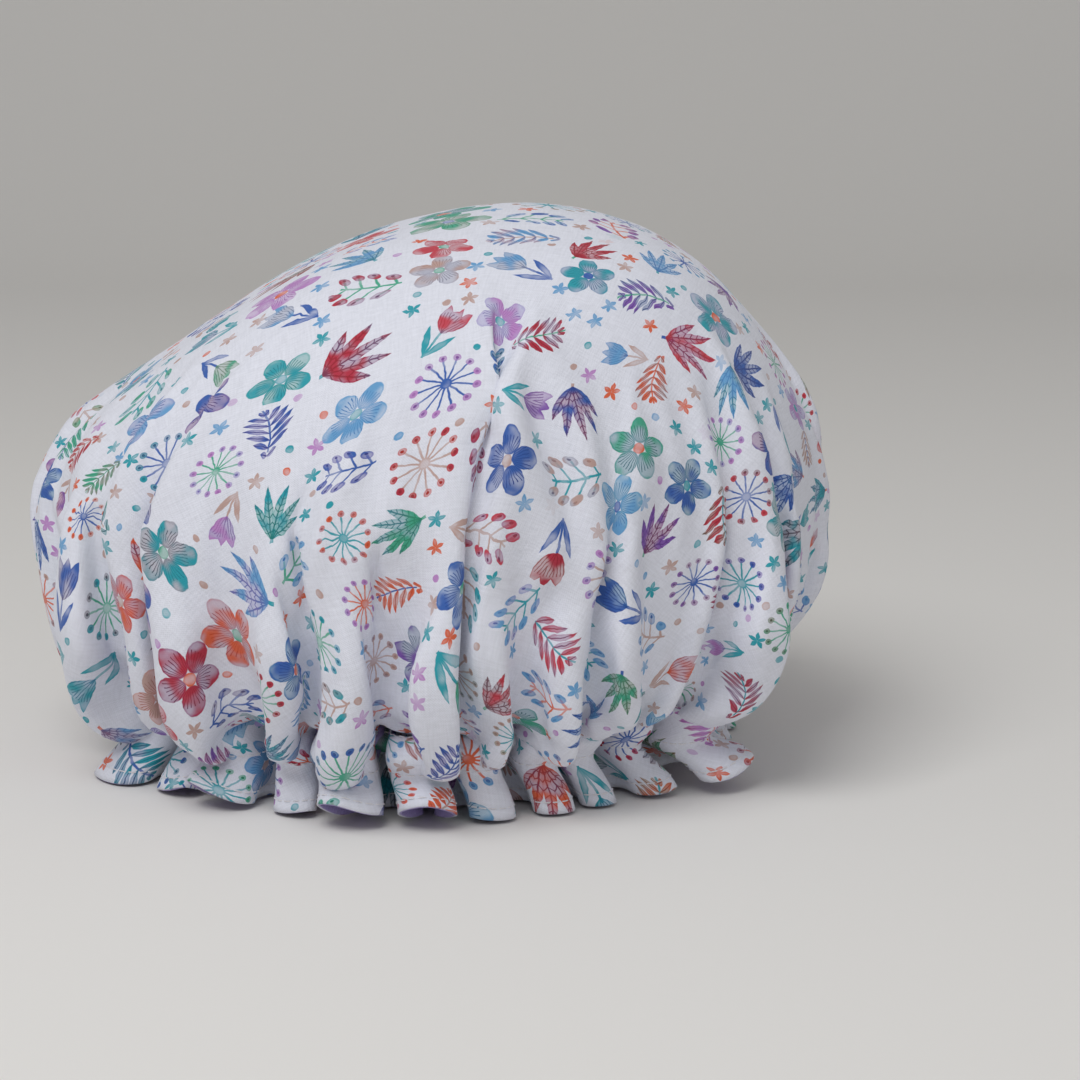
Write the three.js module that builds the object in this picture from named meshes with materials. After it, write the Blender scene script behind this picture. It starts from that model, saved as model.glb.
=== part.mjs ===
// A bouffant shower cap: a printed outer circle of cloth and a waterproof lining circle, sewn
// together at the hem, gathered by an elastic strip that runs in a stitched casing, with a
// ruffle below the casing. It stands on its ruffle, puffed out, opening downwards.
// Millimetres, +Z up, front of the cap towards -Y. The origin is the middle of the opening,
// on the surface that the hem stands on.
import * as THREE from "three";

// Driving dimensions of the puffed cap.
const CAP_WIDTH = 269; // side to side at the fullest height, over the bulges between the folds
const CAP_DEPTH = 240; // front to back at the fullest height
const CAP_HEIGHT = 182; // hem to the top of the crown
const FULLEST_HEIGHT = 85; // height of the widest ring
const CROWN_LEAN = 26; // how far the top sits to the right of the opening's middle
const CROWN_SQUARENESS = 2.05; // superellipse power of the crown above the widest ring
const BELLY_SQUARENESS = 2.1; // the same below the widest ring
const SHOULDER_SLOPE = 0.24; // how far the left and right shoulders slope, as a share of the crown

// The opening, its casing and the ruffle below it.
const OPENING_DIAMETER = 164; // middle of the relaxed elastic
const CROWN_SAG = 10; // how far the crown hangs below the top of the casing
const CROWN_OVERHANG = 28; // how far outside the elastic its lowest ring is, over the bulges
const RUFFLE_DROP = 16; // casing to hem, straight down
const RUFFLE_FLARE_SIDES = 20; // casing to hem, outwards
const RUFFLE_FLARE_FRONT = 10;
const EDGE_STITCH_INSET = 4; // hem edge to the topstitching, along the ruffle

// The gathers: the directions of the folds, in degrees from the front towards the right.
const FOLD_DIRECTIONS = [8, 27, 41, 55, 69, 94, 119, 144, 169, 194, 219, 244, 269, 294, 312, 332];
const GATHER_VARIATION = 0.22; // share by which single gathers are deeper or shallower
const FOLD_ROLL = 0.35; // share of a fold's depth by which its sides roll over its valleys
const SHOULDER_FOLD = 1; // fold depths, half of peak to valley, at the heights named
const FULLEST_FOLD = 1.5;
const BELLY_FOLD = 2.5;
const SAG_FOLD = 4;
const CASING_PUCKER = 0.5;
const HEM_FOLD = 8;

// Cloth, elastic and thread.
const OUTER_CLOTH = 0.5;
const LINING_CLOTH = 0.4;
const LAYER_GAP = 0.3; // between two layers that lie on each other
const LINING_SHORT = 0.6; // the lining's edge stays this far above the hem edge
const ELASTIC_WIDTH = 5;
const ELASTIC_THICKNESS = 0.5;
const ELASTIC_LAP = 20; // length over which the strip's two ends overlap
const CASING_EASE = 4.5; // casing seam to the elastic's edge
const THREAD_DIAMETER = 0.5;
const ZIGZAG_WIDTH = 2.4;
const ZIGZAG_POINTS = 9;
const LAP_DIRECTION = Math.PI / 2; // the elastic's join is at the back

// Worked-out sizes.
const OPENING_RADIUS = OPENING_DIAMETER / 2;
const CASING_HEIGHT = ELASTIC_WIDTH + 2 * CASING_EASE;
const CASING_TOP = RUFFLE_DROP + CASING_HEIGHT;
const CASING_MIDDLE = RUFFLE_DROP + CASING_HEIGHT / 2;
const ELASTIC_STACK = 2 * ELASTIC_THICKNESS + LAYER_GAP;
const EDGE_SHARE = ELASTIC_WIDTH / CASING_HEIGHT; // how far up the casing's half the elastic reaches
const DEEPEST_PUCKER = CASING_PUCKER * (1 + 2 * GATHER_VARIATION);
// The casing swells to a tunnel that clears the lapped elastic at the strip's edges.
const CASING_PUFF =
  (ELASTIC_STACK / 2 + LAYER_GAP + OUTER_CLOTH + DEEPEST_PUCKER) / (1 - EDGE_SHARE);
// The ruffle turns down towards its hem, where it falls twice as steeply as on average.
const HEM_STEEPNESS = 2;
const HEM_RUN = Math.hypot(HEM_STEEPNESS * RUFFLE_DROP, (RUFFLE_FLARE_SIDES + RUFFLE_FLARE_FRONT) / 2);
const EDGE_STITCH_SHARE = 1 - EDGE_STITCH_INSET / HEM_RUN;
const SHARPEST_CORNER = 0.35; // sine of half the sharpest corner that cloth is thickened round
const SIDES_PER_GATHER = 4;
const THREAD_SIDES = 5;
const THREAD_STRETCH = 1.4; // a thread on the outside of a bend stands off by no more than this share
const GATHERS = FOLD_DIRECTIONS.length;
const FULL_COUNT = GATHERS * SIDES_PER_GATHER; // points on a gathered ring
const HALF_COUNT = FULL_COUNT / 2;
const TOP_COUNT = FULL_COUNT / 4;

// A superellipse quarter: share 0 is on the height's end, share 1 on the radius's end.
function quarter(share, power) {
  const angle = (share * Math.PI) / 2;
  return [Math.sin(angle) ** (2 / power), Math.cos(angle) ** (2 / power)];
}

// One ring of the cap's outer face: its half sizes over the bulges, height, points, half of the
// folds' depth, and how much further the lining stays behind the outer cloth there.
function crownRing(share, count, fold) {
  const [across, up] = quarter(share, CROWN_SQUARENESS);
  return {
    halfWidth: (CAP_WIDTH / 2) * across,
    halfDepth: (CAP_DEPTH / 2) * across,
    height: FULLEST_HEIGHT + (CAP_HEIGHT - FULLEST_HEIGHT) * up,
    count,
    fold,
    tunnel: 0,
  };
}

function bellyRing(share, fold) {
  const [down, across] = quarter(share, BELLY_SQUARENESS);
  const sagRadius = OPENING_RADIUS + CROWN_OVERHANG;
  return {
    halfWidth: sagRadius + (CAP_WIDTH / 2 - sagRadius) * across,
    halfDepth: sagRadius + (CAP_DEPTH / 2 - sagRadius) * across,
    height: FULLEST_HEIGHT - (FULLEST_HEIGHT - CASING_TOP + CROWN_SAG) * down,
    count: FULL_COUNT,
    fold,
    tunnel: 0,
  };
}

function casingRing(puff, height, fold) {
  const radius = OPENING_RADIUS + puff + fold;
  return { halfWidth: radius, halfDepth: radius, height, count: FULL_COUNT, fold, tunnel: 2 * puff };
}

function ruffleRing(share) {
  const fold = CASING_PUCKER + (HEM_FOLD - CASING_PUCKER) * share;
  return {
    halfWidth: OPENING_RADIUS + RUFFLE_FLARE_SIDES * share + fold,
    halfDepth: OPENING_RADIUS + RUFFLE_FLARE_FRONT * share + fold,
    height: RUFFLE_DROP * (1 - share ** HEM_STEEPNESS),
    count: FULL_COUNT,
    fold,
    tunnel: 0,
  };
}

const SHOULDER_SHARES = [0.26, 0.5, 0.76];
const casingTop = casingRing(0, CASING_TOP, CASING_PUCKER);
const casingBottom = ruffleRing(0);
const edgeStitch = ruffleRing(EDGE_STITCH_SHARE);
const hem = ruffleRing(1);
const RINGS = [
  crownRing(SHOULDER_SHARES[0], TOP_COUNT, 0),
  crownRing(SHOULDER_SHARES[1], HALF_COUNT, 0),
  crownRing(SHOULDER_SHARES[2], HALF_COUNT, SHOULDER_FOLD),
  crownRing(1, FULL_COUNT, FULLEST_FOLD),
  bellyRing(0.55, BELLY_FOLD),
  bellyRing(1, SAG_FOLD),
  casingTop,
  casingRing(CASING_PUFF, CASING_MIDDLE, CASING_PUCKER / 2),
  casingBottom,
  edgeStitch,
  hem,
];

// Plan angle of a turn share: whole gathers lie on the fold directions, the rest between them.
function planAngle(turn) {
  const fold = Math.floor(turn * GATHERS);
  const here = FOLD_DIRECTIONS[fold];
  const next = FOLD_DIRECTIONS[(fold + 1) % GATHERS];
  const gap = (next - here + 360) % 360;
  return THREE.MathUtils.degToRad(here + gap * (turn * GATHERS - fold) - 90);
}

// A gather's own depth: neighbours differ.
function gatherDepth(turn) {
  const even = turn * 2 * Math.PI;
  return 1 + GATHER_VARIATION * Math.cos(3 * even) * Math.cos(even);
}

// How far up the crown a height is, from 0 at the widest ring to 1 at the top.
function riseAt(height) {
  return Math.max(0, height - FULLEST_HEIGHT) / (CAP_HEIGHT - FULLEST_HEIGHT);
}

// How far the crown has leant over at a height.
function lean(height) {
  return CROWN_LEAN * riseAt(height) ** 2;
}

// How far a shoulder slopes down at a height. The side is 1 at the right and -1 at the left, and
// the slope fades out quickly towards the front and the back.
function slope(height, side) {
  const rise = riseAt(height);
  const share = SHOULDER_SLOPE * side ** 6 * Math.sin(rise * Math.PI) * rise;
  return share * (CAP_HEIGHT - FULLEST_HEIGHT);
}

// A point on the cap's outer face: ring, and turn from 0 to 1 starting at the first fold.
function facePoint(ring, turn) {
  const phase = turn * GATHERS * 2 * Math.PI;
  const depth = ring.fold * gatherDepth(turn);
  const angle = planAngle(turn) - (FOLD_ROLL * depth * Math.sin(phase)) / ring.halfWidth;
  const out = -0.5 * depth * (1 + Math.cos(phase)) ** 2;
  return new THREE.Vector3(
    (ring.halfWidth + out) * Math.cos(angle) + lean(ring.height),
    (ring.halfDepth + out) * Math.sin(angle),
    ring.height - slope(ring.height, Math.cos(angle)),
  );
}

// The outer face as a grid: ring by ring from the crown's top point to the hem.
const facePoints = [new THREE.Vector3(lean(CAP_HEIGHT), 0, CAP_HEIGHT)];
for (const ring of RINGS) {
  ring.start = facePoints.length;
  for (let i = 0; i < ring.count; i += 1) facePoints.push(facePoint(ring, i / ring.count));
}

// Triangles of that grid, facing out. A ring has as many points as the one above it, or twice.
function faceTriangles() {
  const triangles = [];
  const [first] = RINGS;
  for (let i = 0; i < first.count; i += 1) {
    triangles.push(0, first.start + i, first.start + ((i + 1) % first.count));
  }
  for (let r = 1; r < RINGS.length; r += 1) {
    const [upper, lower] = [RINGS[r - 1], RINGS[r]];
    const ratio = lower.count / upper.count;
    for (let i = 0; i < upper.count; i += 1) {
      const a = upper.start + i;
      const b = upper.start + ((i + 1) % upper.count);
      const below = (k) => lower.start + ((i * ratio + k) % lower.count);
      triangles.push(a, below(0), below(1));
      if (ratio === 2) triangles.push(a, below(1), b, b, below(1), below(2));
      else triangles.push(a, below(1), b);
    }
  }
  return triangles;
}

const TRIANGLES = faceTriangles();

function geometryOf(points, triangles) {
  const geometry = new THREE.BufferGeometry().setFromPoints(points);
  geometry.setIndex(triangles);
  geometry.computeVertexNormals();
  return geometry;
}

// For each grid point, the move that lifts it one millimetre off the faces that meet there.
function faceLifts() {
  const sums = facePoints.map(() => new THREE.Vector3());
  const weights = facePoints.map(() => 0);
  for (let i = 0; i < TRIANGLES.length; i += 3) {
    const corners = TRIANGLES.slice(i, i + 3);
    const normal = new THREE.Triangle(...corners.map((c) => facePoints[c])).getNormal(new THREE.Vector3());
    corners.forEach((corner, k) => {
      const [next, last] = [1, 2].map((step) =>
        new THREE.Vector3().subVectors(facePoints[corners[(k + step) % 3]], facePoints[corner]),
      );
      const weight = next.angleTo(last);
      sums[corner].addScaledVector(normal, weight);
      weights[corner] += weight;
    });
  }
  return sums.map((sum, i) => {
    const mean = sum.divideScalar(weights[i]);
    return mean.divideScalar(Math.max(mean.lengthSq(), SHARPEST_CORNER ** 2));
  });
}

const LIFTS = faceLifts();

// The ring that a grid point is on, or undefined for the crown's top point.
function ringOf(index) {
  return RINGS.findLast((ring) => ring.start <= index);
}

// A grid point moved inwards through the cloth. On the hem it slides along the ruffle to the
// height given.
function inward(index, distance, hemHeight) {
  const moved = facePoints[index].clone().addScaledVector(LIFTS[index], -distance);
  if (index < hem.start) return moved;
  const up = inward(index - hem.count, distance, hemHeight).sub(moved);
  return moved.addScaledVector(up, (hemHeight - moved.z) / up.z);
}

// A layer of cloth: the outer face moved in by `behind`, and again by the cloth's thickness.
function clothLayer(behindAt, thickness, hemHeight) {
  const size = facePoints.length;
  const points = [behindAt, (i) => behindAt(i) + thickness].flatMap((distance) =>
    facePoints.map((_, i) => inward(i, distance(i), hemHeight)),
  );
  const triangles = [...TRIANGLES];
  for (let i = 0; i < TRIANGLES.length; i += 3) {
    triangles.push(TRIANGLES[i] + size, TRIANGLES[i + 2] + size, TRIANGLES[i + 1] + size);
  }
  for (let i = 0; i < hem.count; i += 1) {
    const a = hem.start + i;
    const b = hem.start + ((i + 1) % hem.count);
    triangles.push(a, a + size, b, b, a + size, b + size);
  }
  return geometryOf(points, triangles);
}

function liningDepth(index) {
  return OUTER_CLOTH + LAYER_GAP + (ringOf(index)?.tunnel ?? 0);
}

// A bar swept through frames {at, out, up}: its section is a list of [out, up] offsets, taken
// anticlockwise as seen against the sweep. A closed bar joins its end to its start.
function sweptBar(frames, section, closed) {
  const sides = section.length;
  const points = frames.flatMap((frame) =>
    section.map(([out, up]) =>
      frame.at.clone().addScaledVector(frame.out, out).addScaledVector(frame.up, up),
    ),
  );
  const triangles = [];
  const steps = closed ? frames.length : frames.length - 1;
  for (let f = 0; f < steps; f += 1) {
    const here = f * sides;
    const next = ((f + 1) % frames.length) * sides;
    for (let s = 0; s < sides; s += 1) {
      const t = (s + 1) % sides;
      triangles.push(here + s, next + s, here + t, here + t, next + s, next + t);
    }
  }
  if (!closed) {
    const last = (frames.length - 1) * sides;
    for (let s = 1; s + 1 < sides; s += 1) {
      triangles.push(0, s, s + 1, last, last + s + 1, last + s);
    }
  }
  return geometryOf(points, triangles);
}

function rectangle(thickness, width) {
  const [t, w] = [thickness / 2, width / 2];
  return [[t, -w], [t, w], [-t, w], [-t, -w]];
}

function roundSection(diameter) {
  return Array.from({ length: THREAD_SIDES }, (_, i) => {
    const angle = (i / THREAD_SIDES) * 2 * Math.PI;
    return [(diameter / 2) * Math.cos(angle), (diameter / 2) * Math.sin(angle)];
  });
}

// A thread that lies along a ring of the cap, on the printed side or on the lining's side.
function threadRow({ start, count }, onLining) {
  const lift = LAYER_GAP + THREAD_DIAMETER / 2;
  const frames = Array.from({ length: count }, (_, i) => {
    const index = start + i;
    const out = LIFTS[index].clone().normalize();
    const along = new THREE.Vector3().subVectors(
      facePoints[start + ((i + 1) % count)],
      facePoints[start + ((i + count - 1) % count)],
    );
    const stretch = Math.min(LIFTS[index].length(), THREAD_STRETCH);
    const at = onLining
      ? inward(index, liningDepth(index) + LINING_CLOTH).addScaledVector(out, -lift * stretch)
      : inward(index, -lift);
    return { at, out, up: new THREE.Vector3().crossVectors(out, along).normalize() };
  });
  return sweptBar(frames, roundSection(THREAD_DIAMETER), true);
}

// A frame on the elastic's circle.
function elasticFrame(angle, out, height) {
  const radial = new THREE.Vector3(Math.cos(angle), Math.sin(angle), 0);
  const at = radial.clone().multiplyScalar(OPENING_RADIUS + out).setZ(CASING_MIDDLE + height);
  return { at, out: radial, up: new THREE.Vector3(0, 0, 1) };
}

const LAP_ANGLE = ELASTIC_LAP / OPENING_RADIUS;
const LAP_STEP = ELASTIC_THICKNESS + LAYER_GAP;

// The elastic: one flat strip, whose end comes to lie outside its start.
function elasticStrip() {
  const steps = FULL_COUNT + Math.ceil((LAP_ANGLE / (2 * Math.PI)) * FULL_COUNT);
  const length = 2 * Math.PI + LAP_ANGLE;
  const frames = Array.from({ length: steps + 1 }, (_, i) => {
    const turned = (i / steps) * length;
    const out = LAP_STEP * (Math.min(1, turned / (2 * Math.PI)) - 0.5);
    return elasticFrame(LAP_DIRECTION - LAP_ANGLE / 2 + turned, out, 0);
  });
  return sweptBar(frames, rectangle(ELASTIC_THICKNESS, ELASTIC_WIDTH), false);
}

// The zigzag that holds the strip's two ends, on the outside of the lap.
function lapZigzag() {
  const out = LAP_STEP / 2 + ELASTIC_THICKNESS / 2 + LAYER_GAP + THREAD_DIAMETER / 2;
  const frames = Array.from({ length: ZIGZAG_POINTS }, (_, i) => {
    const share = i / (ZIGZAG_POINTS - 1) - 0.5;
    const height = (i % 2 === 0 ? 0.5 : -0.5) * ZIGZAG_WIDTH;
    return elasticFrame(LAP_DIRECTION + share * LAP_ANGLE, out, height);
  });
  return sweptBar(frames, roundSection(THREAD_DIAMETER), false);
}

const printedCloth = new THREE.MeshStandardMaterial({ color: 0xe9e6ef, roughness: 0.85 });
const liningCloth = new THREE.MeshStandardMaterial({ color: 0xb9aed6, roughness: 0.55 });
const whiteElastic = new THREE.MeshStandardMaterial({ color: 0xf2f0ea, roughness: 0.9 });
const whiteThread = new THREE.MeshStandardMaterial({ color: 0xf4f2f4, roughness: 0.7 });
const lilacThread = new THREE.MeshStandardMaterial({ color: 0xc3b8dc, roughness: 0.7 });

function piece(name, geometry, material) {
  const mesh = new THREE.Mesh(geometry, material);
  mesh.name = name;
  return mesh;
}

const showerCap = new THREE.Group();
showerCap.add(
  piece("outer_shell", clothLayer(() => 0, OUTER_CLOTH, 0), printedCloth),
  piece("lining_shell", clothLayer(liningDepth, LINING_CLOTH, LINING_SHORT), liningCloth),
  piece("elastic_strip", elasticStrip(), whiteElastic),
  piece("elastic_lap_zigzag", lapZigzag(), whiteThread),
);
const STITCH_ROWS = { casing_top: casingTop, casing_bottom: casingBottom, hem_edge: edgeStitch };
for (const [row, ring] of Object.entries(STITCH_ROWS)) {
  showerCap.add(
    piece(`${row}_needle_thread`, threadRow(ring, false), whiteThread),
    piece(`${row}_bobbin_thread`, threadRow(ring, true), lilacThread),
  );
}

export default showerCap;
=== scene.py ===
"""Looks of a bouffant shower cap that stands on its ruffle, opening downwards.

Both layers are cut as flat circles, gathered on an elastic and settled by a short cloth
simulation. Every pattern is drawn on the flat cut, so it follows the cloth into its folds.
"""
import logging
import math
from collections.abc import Mapping, Sequence
from dataclasses import dataclass, field
from enum import Enum

import bpy
import numpy as np
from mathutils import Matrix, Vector
from mathutils.bvhtree import BVHTree


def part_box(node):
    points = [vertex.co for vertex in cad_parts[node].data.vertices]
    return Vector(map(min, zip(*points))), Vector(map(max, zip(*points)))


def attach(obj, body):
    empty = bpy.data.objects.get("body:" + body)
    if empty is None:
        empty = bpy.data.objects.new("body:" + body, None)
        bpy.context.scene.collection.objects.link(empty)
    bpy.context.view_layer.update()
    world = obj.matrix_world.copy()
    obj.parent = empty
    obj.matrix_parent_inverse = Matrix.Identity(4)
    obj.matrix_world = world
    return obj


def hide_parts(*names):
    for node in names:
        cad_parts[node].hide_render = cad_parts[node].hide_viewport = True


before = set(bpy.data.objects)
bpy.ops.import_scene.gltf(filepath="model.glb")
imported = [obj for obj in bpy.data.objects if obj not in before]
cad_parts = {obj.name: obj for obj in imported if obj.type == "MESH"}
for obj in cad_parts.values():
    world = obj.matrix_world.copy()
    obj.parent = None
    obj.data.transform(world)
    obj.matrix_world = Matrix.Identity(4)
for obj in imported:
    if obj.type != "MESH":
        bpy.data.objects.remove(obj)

LOG = logging.getLogger("shower_cap")
MM = 0.001
FULL_TURN = 2 * math.pi
FLAT_MAP = "flat_cut"
THREAD_MAP = "along_thread"
Tree = bpy.types.NodeTree
Socket = bpy.types.NodeSocket
Face = tuple[int, ...]
BLEND = {"data_type": "RGBA"}
MULTIPLY = {"data_type": "RGBA", "blend_type": "MULTIPLY"}
FLAT_NOISE = {"noise_dimensions": "2D"}
NEAREST = {"voronoi_dimensions": "2D", "feature": "F1"}
FREE_CIRCLE = {"voronoi_dimensions": "2D", "feature": "N_SPHERE_RADIUS"}


# Numbers, meshes and nodes


def smoothstep(value: np.ndarray | float, low: float, high: float) -> np.ndarray | float:
    """Rise smoothly from 0 at low to 1 at high."""
    share = np.clip((value - low) / (high - low), 0.0, 1.0)
    return share * share * (3.0 - 2.0 * share)


def soft_excess(value: np.ndarray, soft: float) -> np.ndarray:
    """Give a value where it is above 0 and nearly nothing below, with a rounded bend."""
    return soft * np.logaddexp(0.0, value / soft)


def bell(angle: np.ndarray, middle: float, spread: float) -> np.ndarray:
    """Give a bell of height 1 round a direction, all angles in degrees."""
    away = (angle - middle + 180.0) % 360.0 - 180.0
    return np.exp(-((away / spread) ** 2))


def linear(colour: str) -> tuple[float, float, float, float]:
    """Turn an sRGB hex colour into linear light, with full alpha.

    Args:
        colour: the colour as "#RRGGBB".

    Returns:
        Red, green, blue and alpha.
    """
    parts = [int(colour[i : i + 2], 16) / 255.0 for i in (1, 3, 5)]
    light = [p / 12.92 if p <= 0.04045 else ((p + 0.055) / 1.055) ** 2.4 for p in parts]
    return light[0], light[1], light[2], 1.0


def new_mesh_object(
    name: str, points: np.ndarray, faces: Sequence[Sequence[int]]
) -> bpy.types.Object:
    """Make a smooth-shaded mesh object and link it to the scene.

    Args:
        name: the object's name.
        points: one row of x, y, z for each vertex.
        faces: vertex numbers of each face.

    Returns:
        The new object.
    """
    mesh = bpy.data.meshes.new(name)
    mesh.from_pydata(np.asarray(points, float).tolist(), [], [list(map(int, f)) for f in faces])
    mesh.polygons.foreach_set("use_smooth", [True] * len(mesh.polygons))
    mesh.update()
    obj = bpy.data.objects.new(name, mesh)
    bpy.context.scene.collection.objects.link(obj)
    return obj


def write_map(mesh: bpy.types.Mesh, name: str, places: np.ndarray) -> None:
    """Write one UV place for each vertex.

    Args:
        mesh: the mesh that gets the UV map.
        name: the map's name.
        places: one row of u, v for each vertex.
    """
    corners = np.empty(len(mesh.loops), np.int32)
    mesh.loops.foreach_get("vertex_index", corners)
    layer = mesh.uv_layers.new(name=name)
    layer.data.foreach_set("uv", places[corners].astype(np.float32).ravel())


def add_node(
    tree: Tree,
    kind: str,
    settings: Mapping[str, object] | None = None,
    inputs: Mapping[str | int, object] | None = None,
) -> bpy.types.Node:
    """Add a node, set its properties and feed its sockets.

    Args:
        tree: the tree that gets the node.
        kind: the node's type, such as "ShaderNodeMath".
        settings: property names with their values.
        inputs: socket names or numbers, each with a constant or a socket to link.

    Returns:
        The new node.
    """
    node = tree.nodes.new(kind)
    for name, value in (settings or {}).items():
        setattr(node, name, value)
    for key, value in (inputs or {}).items():
        source = value.socket if isinstance(value, Formula) else value
        if isinstance(source, Socket):
            tree.links.new(source, node.inputs[key])
        else:
            node.inputs[key].default_value = source
    return node


class Formula:
    """A number that a shader works out: arithmetic on it adds the Math nodes."""

    def __init__(self, tree: Tree, socket: Socket) -> None:
        """Wrap a socket of a node tree."""
        self.tree = tree
        self.socket = socket

    @classmethod
    def split(cls, tree: Tree, kind: str, source: Socket) -> "list[Formula]":
        """Split a colour or a vector into its three numbers."""
        return [cls(tree, part) for part in add_node(tree, kind, inputs={0: source}).outputs]

    def math(self, operation: str, *others: "Formula | float") -> "Formula":
        """Add one Math node that takes this number first.

        Args:
            operation: the Math node's operation.
            others: its further inputs.

        Returns:
            The node's result.
        """
        inputs = dict(enumerate([self, *others]))
        node = add_node(self.tree, "ShaderNodeMath", {"operation": operation}, inputs)
        return Formula(self.tree, node.outputs[0])

    def ramp(self, low: "Formula | float", high: "Formula | float") -> "Formula":
        """Rise smoothly from 0 where this number is low to 1 where it is high.

        Args:
            low: the number that gives 0.
            high: the number that gives 1.

        Returns:
            The share from 0 to 1.
        """
        node = add_node(
            self.tree,
            "ShaderNodeMapRange",
            {"interpolation_type": "SMOOTHSTEP"},
            {"Value": self, "From Min": low, "From Max": high},
        )
        return Formula(self.tree, node.outputs["Result"])

    def __add__(self, other: "Formula | float") -> "Formula":
        """Add."""
        return self.math("ADD", other)

    def __sub__(self, other: "Formula | float") -> "Formula":
        """Subtract."""
        return self.math("SUBTRACT", other)

    def __rsub__(self, other: float) -> "Formula":
        """Subtract from a constant."""
        return self.math("MULTIPLY_ADD", -1.0, other)

    def __mul__(self, other: "Formula | float") -> "Formula":
        """Multiply."""
        return self.math("MULTIPLY", other)

    def __truediv__(self, other: "Formula | float") -> "Formula":
        """Divide."""
        return self.math("DIVIDE", other)

    def __abs__(self) -> "Formula":
        """Drop the sign."""
        return self.math("ABSOLUTE")


# The cut and the shape it is gathered to


@dataclass(frozen=True)
class CutCircle:
    """The flat circle that each layer is cut to, with the radii of its seams."""

    hem: float = 0.3155
    edge_stitch: float = 0.3115
    casing_low: float = 0.298
    casing_top: float = 0.284

    @property
    def area(self) -> float:
        """Flat area in square metres."""
        return math.pi * self.hem**2


@dataclass(frozen=True)
class Valley:
    """A fold that runs down the crown.

    Its direction is in degrees from the front towards the right, its start is the flat radius
    in metres from which it deepens, and its weight is its share of a full fold.
    """

    direction: float
    start: float
    weight: float


def cap_valleys() -> list[Valley]:
    """List the valleys between the crown's bulges.

    The front ones stand where the photograph shows them. The sides and the back go on at the
    same spacing, a long one and a short one in turn.

    Returns:
        The valleys, in no set order.
    """
    front = [
        (-62, 105, 1.0), (-49, 95, 1.0), (-35, 180, 0.9), (-23, 105, 1.0), (-8, 150, 1.2),
        (6, 70, 1.2), (18, 175, 0.9), (29, 105, 1.0), (39, 190, 0.8), (49, 95, 1.0),
        (65, 110, 1.0), (75, 180, 0.9), (84, 185, 0.9),
    ]
    valleys = [Valley(direction, start * MM, weight) for direction, start, weight in front]
    first, spacing, pairs = 94.0, 25.0, 8
    for k in range(pairs):
        long_one = first + spacing * k
        valleys.append(Valley(long_one, (0.098, 0.115)[k % 2], 1.0))
        valleys.append(Valley(long_one + spacing / 2, 0.190, 0.9))
    return valleys


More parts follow.
